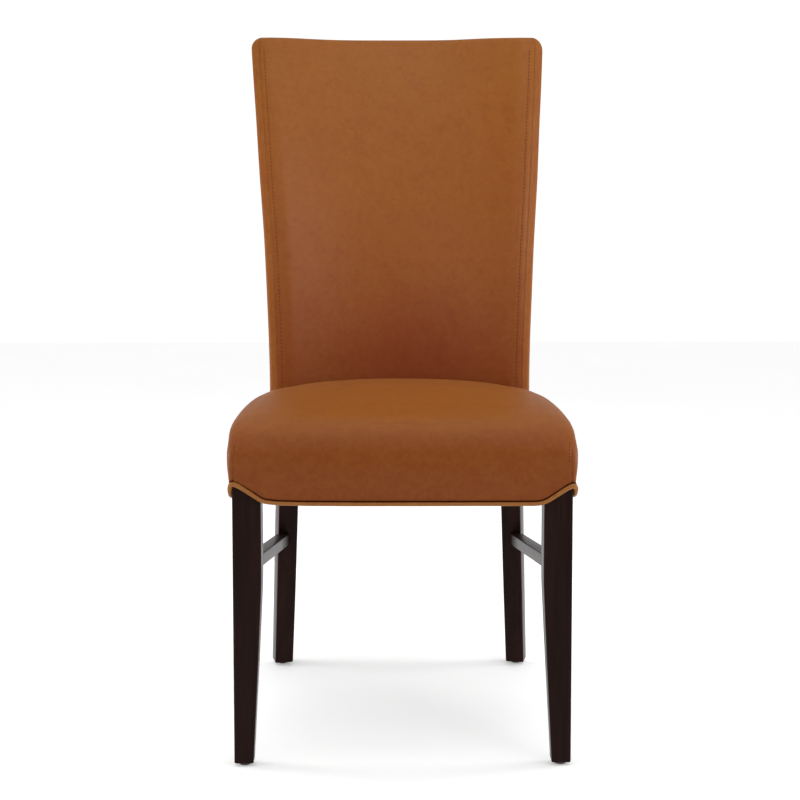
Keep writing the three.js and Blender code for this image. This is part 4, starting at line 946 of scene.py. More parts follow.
def build_seat():
    verts, faces, ids, (nr, n) = seat_mesh(0.0, FINE_COUNTS, FINE_WALLS, FINE_ROLLS)
    normals = vertex_normals(verts, faces)
    if normals[ids[ids.shape[0] // 2, ids.shape[1] // 2]][2] < 0:
        normals = -normals
    move = np.zeros(len(verts))
    v0, f0, ids0, (nr0, n0), d = seat_swell()
    n_0 = vertex_normals(v0, f0)
    if n_0[ids0[ids0.shape[0] // 2, ids0.shape[1] // 2]][2] < 0:
        n_0 = -n_0
    swell = np.einsum("ij,ij->i", d, n_0) - SEAT_INSET * 0.0
    print("seat swell mm", round(float(swell.min()), 2), round(float(swell.mean()), 2), round(float(swell.max()), 2))
    ring0 = swell[: nr0 * n0].reshape(nr0, n0, 1)
    t0 = np.concatenate([SIM_WALLS, 1 + SIM_ROLLS / (math.pi / 2)])
    t1 = np.concatenate([FINE_WALLS, 1 + FINE_ROLLS / (math.pi / 2)])
    fine_rings = resample_grid(ring0, t0, arc_param(SIM_COUNTS), t1, arc_param(FINE_COUNTS), True)[..., 0]
    top0 = swell[ids0][..., None]
    k0, m0 = ids0.shape
    k1, m1 = ids.shape
    fine_top = resample_grid(
        top0, np.linspace(0, 1, k0), np.linspace(0, 1, m0), np.linspace(0, 1, k1), np.linspace(0, 1, m1), False
    )[..., 0]
    move[: nr * n] = fine_rings.ravel()
    move[ids[1:-1, 1:-1].ravel()] = fine_top[1:-1, 1:-1].ravel()
    # the swell's mean is what the start shape was short of
    wall_t = np.zeros(len(verts))
    wall_t[: nr * n] = np.repeat(t1, n)
    wall_t[nr * n :] = 2
    move -= SEAT_INSET * np.minimum(1, wall_t * 4)
    move = np.clip(move * SEAT_GIVE, -1.2, 1.2)
    # relax the small steps left by the coarse mesh
    for _ in range(6):
        acc = np.zeros(len(verts))
        cnt = np.zeros(len(verts))
        for a in range(4):
            b = (a + 1) % 4
            np.add.at(acc, faces[:, a], move[faces[:, b]])
            np.add.at(acc, faces[:, b], move[faces[:, a]])
            np.add.at(cnt, faces[:, a], 1)
            np.add.at(cnt, faces[:, b], 1)
        move = 0.5 * move + 0.5 * acc / cnt
    print("seat move mm", round(float(move.min()), 2), round(float(move.mean()), 2), round(float(move.max()), 2))
    # the filling stands out a little more over the rounded side edges, and
    # more on the left
    t_all = np.full(len(verts), 2.0)
    t_all[: nr * n] = np.repeat(np.concatenate([FINE_WALLS, 1 + FINE_ROLLS / (math.pi / 2)]), n)
    left = verts[:, 0] < 0
    aside = smooth(150, 205, np.abs(verts[:, 0])) * smooth(-14, 30, verts[:, 1]) * (1 - smooth(330, 375, verts[:, 1]))
    full = np.exp(-(((t_all - 1.52) / 0.26) ** 2))
    move += aside * full * np.where(left, 4.4, 3.5)
    move -= aside * np.exp(-(((t_all - 1.0) / 0.18) ** 2)) * np.where(left, 0.9, 0.3)
    # seam over each front corner: a dart from the peak of the lower edge,
    # which runs out over the rounded edge
    n1, n2 = FINE_COUNTS[:2]
    t1 = np.concatenate([FINE_WALLS, 1 + FINE_ROLLS / (math.pi / 2)])
    arcs = np.arange(n1, n1 + n2 + 1)
    seam_paths = {}
    dart = curve(DART)
    for sgn in (1, -1):
        cols = arcs if sgn == 1 else (n - arcs)
        frac = (arcs - n1) / n2  # 0 at the front face, 1 at the side
        path = []
        for i, t in enumerate(t1):
            r = 6 + 11 * t**1.2 if t <= 1 else 17 + SEAT_ROLL * (1 - math.cos((t - 1) * math.pi / 2))
            a_s = float(dart(t))
            depth = np.interp(t, [0, 0.1, 1.05, 1.38, 1.5], [0.7, 1.0, 1.0, 0.35, 0.0])
            dist = (frac - a_s) * math.pi / 2 * r
            g = 1.1 * np.exp(-((dist / 1.15) ** 2)) + 0.7 * np.exp(-((dist / 6.0) ** 2))
            move[i * n + cols] -= g * depth
            j = int(round(a_s * n2))
            path.append((i, j, depth, a_s, r))
        seam_paths[sgn] = path
    # the leather is drawn in a little where it meets the piping
    hem = np.zeros(len(verts))
    zz = np.repeat(t1[:, None], n, 1) * 60
    hem[: nr * n] = np.exp(-((zz / 3.4) ** 2)).ravel()
    move -= 1.9 * hem
    move[: nr * n] -= 0.4 * np.exp(-((zz / 8.0) ** 2)).ravel()
    verts = verts + normals * move[:, None]
    outer_n = vertex_normals(verts, faces)
    if outer_n[ids[ids.shape[0] // 2, ids.shape[1] // 2]][2] < 0:
        outer_n = -outer_n
    # turned edge, inner wall and the underside of the foam
    rim = verts[:n]
    inward = -outer_n[:n] * np.array([1, 1, 0])
    inward /= np.maximum(np.linalg.norm(inward, axis=1, keepdims=True), 1e-9)
    ceiling = 424.6
    loops = [rim + inward * 0.5 + [0, 0, -0.45], rim + inward * 1.3 + [0, 0, -0.45], rim + inward * 1.9 + [0, 0, 0.2]]
    for f in (0.2, 0.45, 0.7, 0.9):
        p = rim + inward * 1.9
        p = p.copy()
        p[:, 2] = (rim[:, 2] + 0.2) * (1 - f) + (ceiling - 0.3) * f
        loops.append(p)
    p = rim + inward * 2.3
    p = p.copy()
    p[:, 2] = ceiling
    loops.append(p)
    centre = np.array([0, 200.0, ceiling])
    for q in range(1, 12):
        ring = p * (1 - q / 12) + centre * (q / 12)
        loops.append(ring)
    base = len(verts)
    verts = np.concatenate([verts] + loops + [centre[None]])
    prev = np.arange(n)
    more = []
    for q in range(len(loops)):
        cur = base + q * n + np.arange(n)
        more.append(np.stack([np.roll(prev, -1), np.roll(cur, -1), cur, prev], 1))
        prev = cur
    faces = np.concatenate([faces] + more)
    last = len(verts) - 1
    polys = [tuple(q) for q in faces] + [(int(prev[j]), int(prev[(j + 1) % n]), last) for j in range(n)]
    ob = mesh_object("seat_cushion", verts, polys, SEAT_HIDE)
    fix_normals(ob)
    return ob, verts, n, nr, seam_paths, t1, normals


def fix_normals(ob):
    import bmesh

    bm = bmesh.new()
    bm.from_mesh(ob.data)
    bmesh.ops.recalc_face_normals(bm, faces=bm.faces)
    bm.to_mesh(ob.data)
    bm.free()
    ob.data.update()


seat, seat_v, seat_n, seat_nr, seam_paths, seat_t, seat_normals = build_seat()
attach(seat, "root"), seat, seat
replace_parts(seat, "seat_cover", "seat_foam", "front_wadding", "side_wadding_right", "side_wadding_left")


# ----------------------------------------------------------------- stitches
def stitch_mesh(name, starts, ends, normals, material, width=0.45, sink=0.05):
    """Short lengths of thread, each a bowed bead that dips at its two ends."""
    verts, faces = [], []
    sides, segs = 8, 7
    a = np.linspace(0, 2 * math.pi, sides, endpoint=False)
    for s, e, nrm in zip(starts, ends, normals):
        along = e - s
        length = np.linalg.norm(along)
        along = along / length
        nrm = nrm - along * np.dot(nrm, along)
        nrm /= np.linalg.norm(nrm)
        across = np.cross(along, nrm)
        base = len(verts)
        for q in range(segs):
            f = q / (segs - 1)
            r = width * (0.55 + 0.45 * math.sin(math.pi * f) ** 0.5) if 0 < f < 1 else width * 0.35
            c = s + along * length * f + nrm * (width * 0.55 * math.sin(math.pi * f) - sink - (0.25 if f in (0, 1) else 0))
            for ang in a:
                verts.append(c + across * r * math.cos(ang) + nrm * r * 0.8 * math.sin(ang))
        for q in range(segs - 1):
            for j in range(sides):
                k = (j + 1) % sides
                faces.append((base + q * sides + j, base + q * sides + k, base + (q + 1) * sides + k, base + (q + 1) * sides + j))
        faces.append(tuple(base + j for j in range(sides))[::-1])
        faces.append(tuple(base + (segs - 1) * sides + j for j in range(sides)))
    ob = mesh_object(name, np.array(verts), faces, material)
    fix_normals(ob)
    return ob


def hole_mesh(name, places, alongs, normals, long=1.15, wide=0.8, high=0.32):
    """The dark dents that the needle leaves, as low domes of shadowed thread."""
    verts, faces = [], []
    sides, rings = 10, 4
    for c, t, nrm in zip(places, alongs, normals):
        t = t / np.linalg.norm(t)
        nrm = nrm - t * np.dot(nrm, t)
        nrm /= np.linalg.norm(nrm)
        x = np.cross(t, nrm)
        base = len(verts)
        for q in range(2 * rings - 1):
            f = (q - (rings - 1)) / rings * math.pi / 2
            for j in range(sides):
                a = 2 * math.pi * j / sides
                verts.append(
                    c + (t * long * math.cos(a) + x * wide * math.sin(a)) * math.cos(f) + nrm * high * math.sin(f)
                )
        m = 2 * rings - 1
        for q in range(m - 1):
            for j in range(sides):
                k = (j + 1) % sides
                faces.append((base + q * sides + j, base + q * sides + k, base + (q + 1) * sides + k, base + (q + 1) * sides + j))
        faces.append(tuple(base + j for j in range(sides))[::-1])
        faces.append(tuple(base + (m - 1) * sides + j for j in range(sides)))
    ob = mesh_object(name, np.array(verts), faces, HOLE)
    fix_normals(ob)
    return ob


def along_path(points, normals, pitch, length, lead=0.0):
    """Starts, ends and normals of stitches set out along a path."""
    points = np.asarray(points, float)
    s = np.concatenate([[0], np.cumsum(np.linalg.norm(np.diff(points, axis=0), axis=1))])
    at = lambda q: np.array([np.interp(q, s, points[:, d]) for d in range(3)])
    nat = lambda q: np.array([np.interp(q, s, normals[:, d]) for d in range(3)])
    starts, ends, ns = [], [], []
    q = lead
    while q + length < s[-1]:
        starts.append(at(q))
        ends.append(at(q + length))
        ns.append(nat(q + length / 2))
        q += pitch
    return starts, ends, ns


def seat_stitches():
    n1, n2 = FINE_COUNTS[:2]
    S, E, N = [], [], []
    line = curve(DART_STITCH)
    for sgn in (1, -1):
        pts, nrm = [], []
        for i, j, depth, a_s, r in seam_paths[sgn]:
            t = seat_t[i]
            if t < (0.76 if sgn > 0 else 1.03) or t > (1.5 if sgn > 0 else 1.47):
                continue
            frac = float(line(t)) + (0 if sgn > 0 else 0.06)
            col = n1 + frac * n2
            c0 = int(math.floor(col))
            w = col - c0
            ca, cb = (c0, c0 + 1) if sgn == 1 else (seat_n - c0, seat_n - c0 - 1)
            pts.append(seat_v[i * seat_n + ca] * (1 - w) + seat_v[i * seat_n + cb] * w)
            nrm.append(seat_normals[i * seat_n + ca])
        s, e, n = along_path(pts, np.array(nrm), 4.8, 3.0)
        S += s
        E += e
        N += n
    gaps = [((e + s2) / 2, s2 - e, n) for e, s2, n in zip(E[:-1], S[1:], N) if np.linalg.norm(s2 - e) < 4]
    return (
        stitch_mesh("seat_corner_stitches", S, E, N, THREAD, 0.42),
        hole_mesh("seat_corner_stitch_holes", *zip(*gaps), 1.0, 0.75),
    )


for st in seat_stitches():
    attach(st, "root"), st


# ----------------------------------------------------------------- the back
def corner_phi(z, r=BACK_CORNER):
    """Half width of the back at a height, with its rounded top corners, and
    the share of the corner that is left."""
    w = backW(z)
    over = z - (HEIGHT - r)
    c = np.sqrt(np.maximum(0, 1 - (np.maximum(over, 0) / r) ** 2))
    return w - BACK_CORNER + BACK_CORNER * c, c


CORNER_ROUND = {1: 22.0, -1: 18.5}  # height of the rounding on the right and left


def lean(p):
    """The top of the back leans a little to the left."""
    p = p.copy()
    p[..., 0] -= 2.6 * np.clip((p[..., 2] - 700) / 308, 0, 1.1) ** 1.1
    return p


TOP_R = 5.0  # rounding of the top edge at the front
TOP_RR = 6.0  # and at the rear


def lap_at(z):
    return 9.5 + (LAP - 9.5) * smooth(424, 442, z)


def top_lift(x):
    """The wings of the top edge stand a little higher than its middle, the
    right one further in."""
    return 1.1 * np.exp(-(((np.abs(x) - 172) / 46.0) ** 2)) + 0.75 * np.exp(-(((x - 128) / 38.0) ** 2))


def seam_x(z, k):
    """Half width of the front panel, which follows the rounded top corners."""
    z = np.minimum(z, HEIGHT)
    c = corner_phi(z, CORNER_ROUND[k])[1]
    return backW(z) - BACK_CORNER + (BACK_CORNER - LAP) * c


ROLL_R = 42.0  # the padding rolls back over this width at each side
ROLL_K = 0.0193


def edge_roll(x, z):
    """How far the rolled side of the padding lies behind the hollow face, and
    its slope there."""
    k = ROLL_K * smooth(430, 458, z)
    d = np.maximum(0.0, ROLL_R - (backW(np.minimum(z, HEIGHT)) - np.abs(x)))
    return 0.5 * k * d**2, k * d


def spaced(a, b, step, fine=None):
    n = max(2, int(round((b - a) / step)) + 1)
    return np.linspace(a, b, n)


def seam_groove(d, z, depth=0.30, wide=0.7):
    """How far the surface sinks at a distance from a seam."""
    return (depth * np.exp(-((d / wide) ** 2)) + 0.12 * np.exp(-((d / 4.0) ** 2))) * (1 - smooth(HEIGHT - 16, HEIGHT - 5, z))


STITCH_IN = {1: 8.9, -1: 7.3}  # the stitches run this far inside the seam
SIDE_DEPTH = 12.0  # depth of the gusset's own rounding
BACK_GIVE = 0.35  # share of the filling's swell that the tight cover shows


EDGE_STEPS = np.array([0, 0.35, 0.7, 1.1, 1.6, 2.2, 3.0, 4.0, 5.4, 7.2, 9.5, 12.5, 16.5])


def front_panel():
    # columns by distance from the side seam, rows up the face and over the top
    u_in = np.concatenate([EDGE_STEPS, np.arange(21.5, 214.0, 4.6)])
    rows = []  # (height on the face, depth behind the face, kind)
    zs = np.concatenate([spaced(427, 990, 3.4), spaced(990, HEIGHT - TOP_R, 1.6)[1:]])
    for z in zs:
        rows.append((z, 0.0))
    for a in np.linspace(0, math.pi / 2, 9)[1:]:
        rows.append((HEIGHT - TOP_R + TOP_R * math.sin(a), TOP_R * (1 - math.cos(a))))
    t_top = float(backT(990.0))
    for d in spaced(TOP_R, t_top - TOP_RR, 2.6)[1:]:
        rows.append((HEIGHT, float(d)))
    for a in np.linspace(math.pi / 2, 0, 9)[1:]:
        rows.append((HEIGHT - TOP_RR + TOP_RR * math.sin(a), t_top - TOP_RR * (1 - math.cos(a))))
    for z in (1001.2, 1000.6, 1000.1, 999.6, 999.2):
        rows.append((z, t_top))
    rows = np.array(rows)
    nr = len(rows)
    half = len(u_in)
    dist = u_in  # from the seam, towards the middle
    P = np.zeros((nr, 2 * half - 1, 3))
    for i, (z, d) in enumerate(rows):
        # fine steps near the seams in millimetres
        blend = smooth(10, 40, dist)
        halves = []
        for k in (-1, 1):
            edge = float(seam_x(z, k)) - 0.25
            halves.append(edge - (dist * (1 - blend) + (dist / dist[-1] * edge) * blend))
        x = np.concatenate([-halves[0], halves[1][-2::-1]])
        x[half - 1] = 0.0
        roll, slope = edge_roll(x, z)
        deep = roll[0] + SIDE_DEPTH
        P[i, :, 0] = x
        P[i, :, 1] = backFront(x, z) + d + roll * max(0.0, 1 - d / deep)
        crown = 0.0
        P[i, :, 2] = z + top_lift(x) * smooth(900, HEIGHT, z) + crown
    return rows, P, np.concatenate([dist, dist[-2::-1]])


def build_back_front():
    rows, P, dist = front_panel()
    N = grid_normals(P)
    if N[10, P.shape[1] // 2][1] > 0:
        N = -N
    face = rows[:, 1] <= 0.0
    # fullness of the padding: least at the seams, most in the middle of the
    # sides' hollow; filled by the simulation below
    pad = np.zeros(P.shape[:2])
    pad = back_swell(rows, P, dist)
    d = dist[None, :]
    move = pad - seam_groove(d, np.minimum(P[..., 2], rows[:, 0][:, None] + 99 * (rows[:, 1] > 0)[:, None]))
    # shallow channel that the stitches lie in
    lead = np.where(np.arange(P.shape[1]) < P.shape[1] // 2, STITCH_IN[-1], STITCH_IN[1])
    upto = 1 - smooth(990, 1000, P[..., 2])
    move -= 0.45 * np.exp(-(((d - lead) / 2.0) ** 2)) * upto
    # the seam with the outer panel at the rear of the top
    end = rows[:, 0] - rows[-1, 0] + np.where(rows[:, 1] < rows[-1, 1] - 0.01, 99, 0)
    move -= (0.8 * np.exp(-((end / 0.8) ** 2)))[:, None]
    # soft unevenness of a hand-pulled cover
    x, z = P[..., 0], P[..., 2]
    move += 0.22 * np.sin(x / 61.0 + 0.8) * np.sin(z / 83.0 + 1.1) + 0.12 * np.sin(x / 27.0 + z / 49.0)
    outer = P + N * move[..., None]
    th = np.where(face, 12.0 * (1 - smooth(940, 1003, rows[:, 0])) + 1.8 * smooth(940, 1003, rows[:, 0]), 1.8)
    th = np.maximum(1.8, th[:, None] - edge_roll(P[..., 0], P[..., 2])[0])
    inner = outer - N * th[..., None]
    outer, inner = lean(outer), lean(inner)
    ob = plate("back_front_padding", outer, inner, BACK_HIDE)
    fix_normals(ob)
    return ob, rows, outer, N, dist


def back_swell(rows, P, dist):
    """Fills the front panel as cloth and gives the swell on its grid."""
    face = np.nonzero(rows[:, 1] <= 0.0)[0]
    zs = np.linspace(rows[face[0], 0], rows[face[-1], 0], 96)
    m = 73
    grid = np.zeros((len(zs), m, 3))
    for i, z in enumerate(zs):
        edge = float(backW(z)) - LAP - 0.25
        x = np.linspace(-edge, edge, m)
        grid[i] = np.column_stack([x, backFront(x, z), np.full(m, z)])
    rear = grid + [0, 12.0, 0]
    n = len(zs) * m
    verts = np.concatenate([grid.reshape(-1, 3), rear.reshape(-1, 3)])
    edge = (
        [(0, j) for j in range(m)]
        + [(i, m - 1) for i in range(1, len(zs))]
        + [(len(zs) - 1, j) for j in range(m - 2, -1, -1)]
        + [(i, 0) for i in range(len(zs) - 2, 0, -1)]
    )
    e = np.array([a * m + b for a, b in edge])
    g = np.roll(e, -1)
    faces = np.concatenate([grid_faces(len(zs), m), grid_faces(len(zs), m, base=n, flip=True), np.stack([e, e + n, g + n, g], 1)])
    faces = face_out(verts, faces)
    pin = np.zeros(len(verts))
    pin[n:] = 1
    pin[e] = 1
    after = inflate("back_sim", verts, [tuple(q) for q in faces], pin, 1.2)
    d = (after[:n] - verts[:n]).reshape(len(zs), m, 3)
    swell = np.clip(-d[..., 1], 0, 9.0) * BACK_GIVE
    print("back swell mm", round(float(swell.mean()), 2), round(float(swell.max()), 2))
    for _ in range(40):
        q = np.pad(swell, 1, mode="edge")
        swell = (q[:-2, 1:-1] + q[2:, 1:-1] + q[1:-1, :-2] + q[1:-1, 2:] + 4 * swell) / 8
    out = np.zeros(P.shape[:2])
    for i, (z, dd) in enumerate(rows):
        if dd > 0:
            continue
        f = (z - zs[0]) / (zs[-1] - zs[0]) * (len(zs) - 1)
        a = int(min(max(math.floor(f), 0), len(zs) - 2))
        row = swell[a] * (1 - (f - a)) + swell[a + 1] * (f - a)
        edge = float(backW(z)) - LAP - 0.25
        out[i] = np.interp(P[i, :, 0], np.linspace(-edge, edge, m), row)
    return out


back_front, bf_rows, bf_outer, bf_n, bf_dist = build_back_front()
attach(back_front, "root"), back_front, back_front
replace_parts(back_front, "back_front_panel", "back_foam", "crest_wadding")


def gusset_section(z, k):
    """Points across the right gusset at one height, from its front seam round the edge to its rear seam, in order."""
    w, c = corner_phi(z, CORNER_ROUND[k])
    w, c = float(w), float(c)
    x0 = float(backW(z)) - BACK_CORNER + (BACK_CORNER - float(lap_at(z))) * c
    f = lambda x: backFront(x, min(z, HEIGHT))
    df = TOP_R - math.sqrt(max(0.0, TOP_R**2 - max(0.0, z - (HEIGHT - TOP_R)) ** 2)) if z > HEIGHT - TOP_R else 0.0
    dr = TOP_RR - math.sqrt(max(0.0, TOP_RR**2 - max(0.0, z - (HEIGHT - TOP_RR)) ** 2)) if z > HEIGHT - TOP_RR else 0.0
    t = float(backT(z))
    start, slope = (float(v) for v in edge_roll(x0, z))
    b = start + SIDE_DEPTH
    h = 0.5 * (w - x0)
    ctrl = np.array([[x0, start], [x0 + h, start + slope * h], [w, b - 5.5], [w, b]])
    pts = []
    for q in np.linspace(0, 1, 34):
        x, deep = (1 - q) ** 3 * ctrl[0] + 3 * q * (1 - q) ** 2 * ctrl[1] + 3 * q * q * (1 - q) * ctrl[2] + q**3 * ctrl[3]
        pts.append([x, float(f(x)) + df + deep * (1 - df / b)])
    y_side = float(f(w))
    for d in np.linspace(b, t - 9.0, 16)[1:]:
        pts.append([w, y_side + d])
    ra = 6.0 * c
    for q in np.linspace(0, math.pi / 2, 10)[1:]:
        x = w - ra * (1 - math.cos(q))
        pts.append([x, y_side + (t - 9.0) + (float(f(x)) - y_side) * 1.0 + (9.0 - dr) * math.sin(q)])
    # flat part up to the rear seam
    reach = 1.8
    jog = float(smooth(999.2, 1000.2, z))
    x_end = (w - ra - reach) * (1 - jog) + min(w - ra - 0.01, float(seam_x(z, k)) + 0.25) * jog
    for k in range(1, 7):
        x = (w - ra) + (x_end - (w - ra)) * k / 6
        pts.append([x, float(f(x)) + t - dr])
    p = np.array(pts)
    return np.column_stack([p, np.full(len(p), z)])


def build_gusset(side, k):
    zs = np.concatenate([
        spaced(RIM_Z, 420, 4.5), spaced(420, 446, 2.2)[1:], spaced(446, 985, 4.2)[1:],
        HEIGHT - CORNER_ROUND[k] + CORNER_ROUND[k] * np.sin(np.linspace(-0.35, math.pi / 2 * 0.985, 34)),
    ])
    zs = np.unique(np.round(zs, 3))
    P = np.array([gusset_section(float(z), k) for z in zs])
    P[..., 2] += top_lift(P[..., 0]) * smooth(900, HEIGHT, P[..., 2])
    N = grid_normals(P)
    if N[len(zs) // 2, 40][0] < 0:
        N = -N
    s = np.concatenate([np.zeros((len(zs), 1)), np.cumsum(np.linalg.norm(np.diff(P, axis=1), axis=2), axis=1)], 1)
    rear = s[:, -1:] - s
    move = -seam_groove(s, P[..., 2]) - 0.8 * np.exp(-((rear / 1.1) ** 2))
    # slight fullness of the wadding under it
    move += 1.1 * np.sin(np.clip(s / s[:, -1:], 0, 1) * math.pi) ** 2
    y, z = P[..., 1], P[..., 2]
    move += 0.10 * np.sin(z / 37.0 + k) * np.sin(y / 19.0)
    outer = P + N * move[..., None]
    inner = outer - N * 1.6
    m = np.array([k, 1, 1])
    ob = plate("back_gusset_" + side, lean(outer * m), lean(inner * m), SIDE)
    fix_normals(ob)
    return ob


for side, k in (("right", 1), ("left", -1)):
    g = build_gusset(side, k)
    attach(g, "root"), g, g
    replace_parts(g, "side_gusset_" + side, "post_wadding_" + side)


def back_stitches():
    S, E, N = [], [], []
    face = np.nonzero(bf_rows[:, 1] <= 0.0)[0]
    for col, sgn in ((0, -1), (1, 1)):
        pts, nrm = [], []
        for i in face:
            if bf_rows[i, 0] < 440 or bf_rows[i, 0] > 992:
                continue
            row = bf_outer[i]
            half = (len(bf_dist) + 1) // 2
            r = row if sgn < 0 else row[::-1]
            pts.append([np.interp(STITCH_IN[sgn], bf_dist[:half], r[:half, d]) for d in range(3)])
            nrm.append(bf_n[i, 9] if sgn < 0 else bf_n[i, -10])
        s, e, n = along_path(pts, np.array(nrm), STITCH, 3.6, 1.0)
        S += s
        E += e
        N += n
    gaps = [((e + s2) / 2, s2 - e, n) for e, s2, n in zip(E[:-1], S[1:], N) if np.linalg.norm(s2 - e) < 4]
    return stitch_mesh("back_stitches", S, E, N, THREAD, 0.5), hole_mesh("back_stitch_holes", *zip(*gaps), 1.25, 0.85)


for st in back_stitches():
    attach(st, "root"), st


def build_outer():
    zs = np.concatenate([[RIM_Z, RIM_Z + 0.8, RIM_Z + 1.8, RIM_Z + 3.2], spaced(RIM_Z + 6, 985, 6.0), spaced(985, 999.0, 1.4)[1:]])
    u = np.concatenate([EDGE_STEPS, np.arange(22.0, 225.0, 6.0)])
    half = len(u)
    P = np.zeros((len(zs), 2 * half - 1, 3))
    for i, z in enumerate(zs):
        w, c = corner_phi(z, CORNER_ROUND[1])
        edge = float(w) - 6.0 * float(c) - 2.1
        blend = smooth(10, 40, u)
        s = u * (1 - blend) + (u / u[-1] * edge) * blend
        x = np.concatenate([-(edge - s), (edge - s)[-2::-1]])
        x[half - 1] = 0
        P[i] = np.column_stack([x, backFront(x, z) + float(backT(z)), np.full(len(x), z)])
    P[..., 2] += top_lift(P[..., 0]) * smooth(900, HEIGHT, P[..., 2])
    N = grid_normals(P)
    if N[len(zs) // 2, half][1] < 0:
        N = -N
    dist = np.concatenate([u, u[-2::-1]])[None, :]
    top = (999.0 - zs)[:, None]
    low = (zs - RIM_Z)[:, None]
    move = -0.9 * np.exp(-((dist / 1.1) ** 2)) - 0.8 * np.exp(-((top / 1.0) ** 2)) - 0.7 * np.exp(-((low / 1.5) ** 2))
    x, z = P[..., 0], P[..., 2]
    move = move + 0.16 * np.sin(x / 70.0) * np.sin(z / 95.0) + 0.35 * smooth(0, 25, dist)
    outer = P + N * move[..., None]
    inner = outer - N * 1.6
    ob = plate("back_outer_cover", lean(outer), lean(inner), HIDE)
    fix_normals(ob)
    return ob


bo = build_outer()
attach(bo, "root"), bo
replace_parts(bo, "back_outer_panel")


# --------------------------------------------------------------- the piping
def resample(path, step, closed=True):
    p = np.concatenate([path, path[:1]]) if closed else path
    s = np.concatenate([[0], np.cumsum(np.linalg.norm(np.diff(p, axis=0), axis=1))])
    n = int(round(s[-1] / step))
    q = np.linspace(0, s[-1], n, endpoint=not closed)
    return np.stack([np.interp(q, s, p[:, d]) for d in range(3)], 1)


def welt_path():
    rim = seat_v[:seat_n]
    base = outline(0, 0, 6, FINE_COUNTS)
    pts = []
    # the seat's front and sides, right half then left
    half = seat_n // 2
    right = [i for i in range(0, half) if base[i, 1] < 372]
    z_rim = rim_z(FINE_COUNTS, np.zeros(seat_n))
    out = []
    nx = np.gradient(np.concatenate([base[-2:], base, base[:2]]), axis=0)[2:-2]
    nrm = np.column_stack([nx[:, 1], -nx[:, 0]])
    nrm /= np.linalg.norm(nrm, axis=1, keepdims=True)
    # the piping stands out most where it turns over the front legs
    knob = np.exp(-((np.linalg.norm(np.abs(base) - [RIM_X, -RIM_Y], axis=1) / 22.0) ** 2))[:, None] * (base[:, 1:] < 60)
    P = np.column_stack([base + nrm * (np.where(base[:, :1] < 0, -0.3, 0.9) * knob - 0.1), z_rim - 0.55])
    w = float(backW(RIM_Z))
    t = float(backT(RIM_Z))
    f = lambda x: float(backFront(x, RIM_Z))
    rear = [
        [w + 0.6, f(w) + 3], [w + 0.9, f(w) + 12], [w + 0.9, f(w) + t * 0.5], [w + 0.9, f(w) + t - 10],
        [w - 0.6, f(w) + t - 4.2], [w - 4.5, f(w) + t - 0.3],
    ] + [[x, f(x) + t + 0.9] for x in np.linspace(w - 12, 0, 16)]
    rear = np.array([[a, b, RIM_Z - 0.55] for a, b in rear])
    rear_all = np.concatenate([rear, (rear * [-1, 1, 1])[-2::-1]])
    left = [seat_n - i for i in right if i > 0][::-1]
    path = np.concatenate([P[right], rear_all, P[left]])
    path = resample(path, 2.0)
    for _ in range(5):
        path = (np.roll(path, 1, 0) + 2 * path + np.roll(path, -1, 0)) / 4
    return resample(path, 2.0)


wp = welt_path()
s_along = np.arange(len(wp)) * 2.0
# the leather of the piping bunches up a little where it turns over the legs
bunch = np.exp(-((np.linalg.norm(np.abs(wp[:, :2]) - [RIM_X, -RIM_Y], axis=1) / 30.0) ** 2)) * (wp[:, 1] < 60)
welt = tube(
    "seat_piping", wp, WELT_R * (1 + 0.012 * np.sin(s_along / 17.0) + 0.010 * np.sin(s_along / 6.1)) + 0.65 * bunch,
    PIPE, 14, closed=True,
)
# the flange's edge is a bead in the groove above it, coloured near-black as painted shade of that groove
w_t = np.roll(wp, -1, 0) - np.roll(wp, 1, 0)
w_t /= np.linalg.norm(w_t, axis=1, keepdims=True)
w_out = np.cross(w_t, [0, 0, 1.0])
w_out /= np.linalg.norm(w_out, axis=1, keepdims=True)
w_up = np.cross(w_out, w_t)
flange_line = wp + w_up * (3.25 + 0.65 * bunch)[:, None] - w_out * 0.55
flange = tube("piping_flange_painted_shade", flange_line, 0.95, GROOVE_SHADE, 8, closed=True)
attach(flange, "root"), flange


def cover_tail(name, sgn):
    """Rear end of the seat's side panel, which runs on under the gusset."""
    ys = np.linspace(352, 389, 14)
    rings = []
    for z in [*np.linspace(351.2, 362, 7), *np.linspace(366, 442, 20)]:
        inset = 1.8 + 1.4 * math.exp(-(((z - 353) / 6.0) ** 2)) + 0.014 * max(0.0, z - 416) ** 2
        x = np.minimum(seatHalf(ys), float(backW(z))) - inset
        ring = np.concatenate([np.column_stack([x, ys]), np.column_stack([x - 1.3, ys])[::-1]])
        rings.append(np.column_stack([ring, np.full(len(ring), z)]))
    tail = loft(name, np.array(rings) * [sgn, 1, 1], SEAT_HIDE)
    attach(tail, "root"), tail


cover_tail("seat_cover_tail_right", 1)
cover_tail("seat_cover_tail_left", -1)
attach(welt, "root"), welt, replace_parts(welt, "seat_welt")


# ------------------------------------------------- underside hems and staples
def hem(name, line_out, line_in, z0, z1):
    """Flat strip of leather between two lines, turned under the rails."""
    a, b = np.asarray(line_out, float), np.asarray(line_in, float)
    n = len(a)
    k = 5
    G = np.stack([a * (1 - q / (k - 1)) + b * (q / (k - 1)) for q in range(k)], 1)
    wob = 0.15 * np.sin(np.arange(n) * 1.7)[:, None] * np.ones((1, k))
    low = np.concatenate([G, (np.full((n, k, 1), z0) + wob[..., None])], 2)
    high = np.concatenate([G, (np.full((n, k, 1), z1) + wob[..., None])], 2)
    ob = plate(name, low, high, HIDE)
    fix_normals(ob)
    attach(ob, "root"), ob
    return ob


def side_outer(y):
    return 216.0 + (188.6 - 216.0) * (y - (LEG_FRONT + LEG_W)) / (410 - (LEG_FRONT + LEG_W))


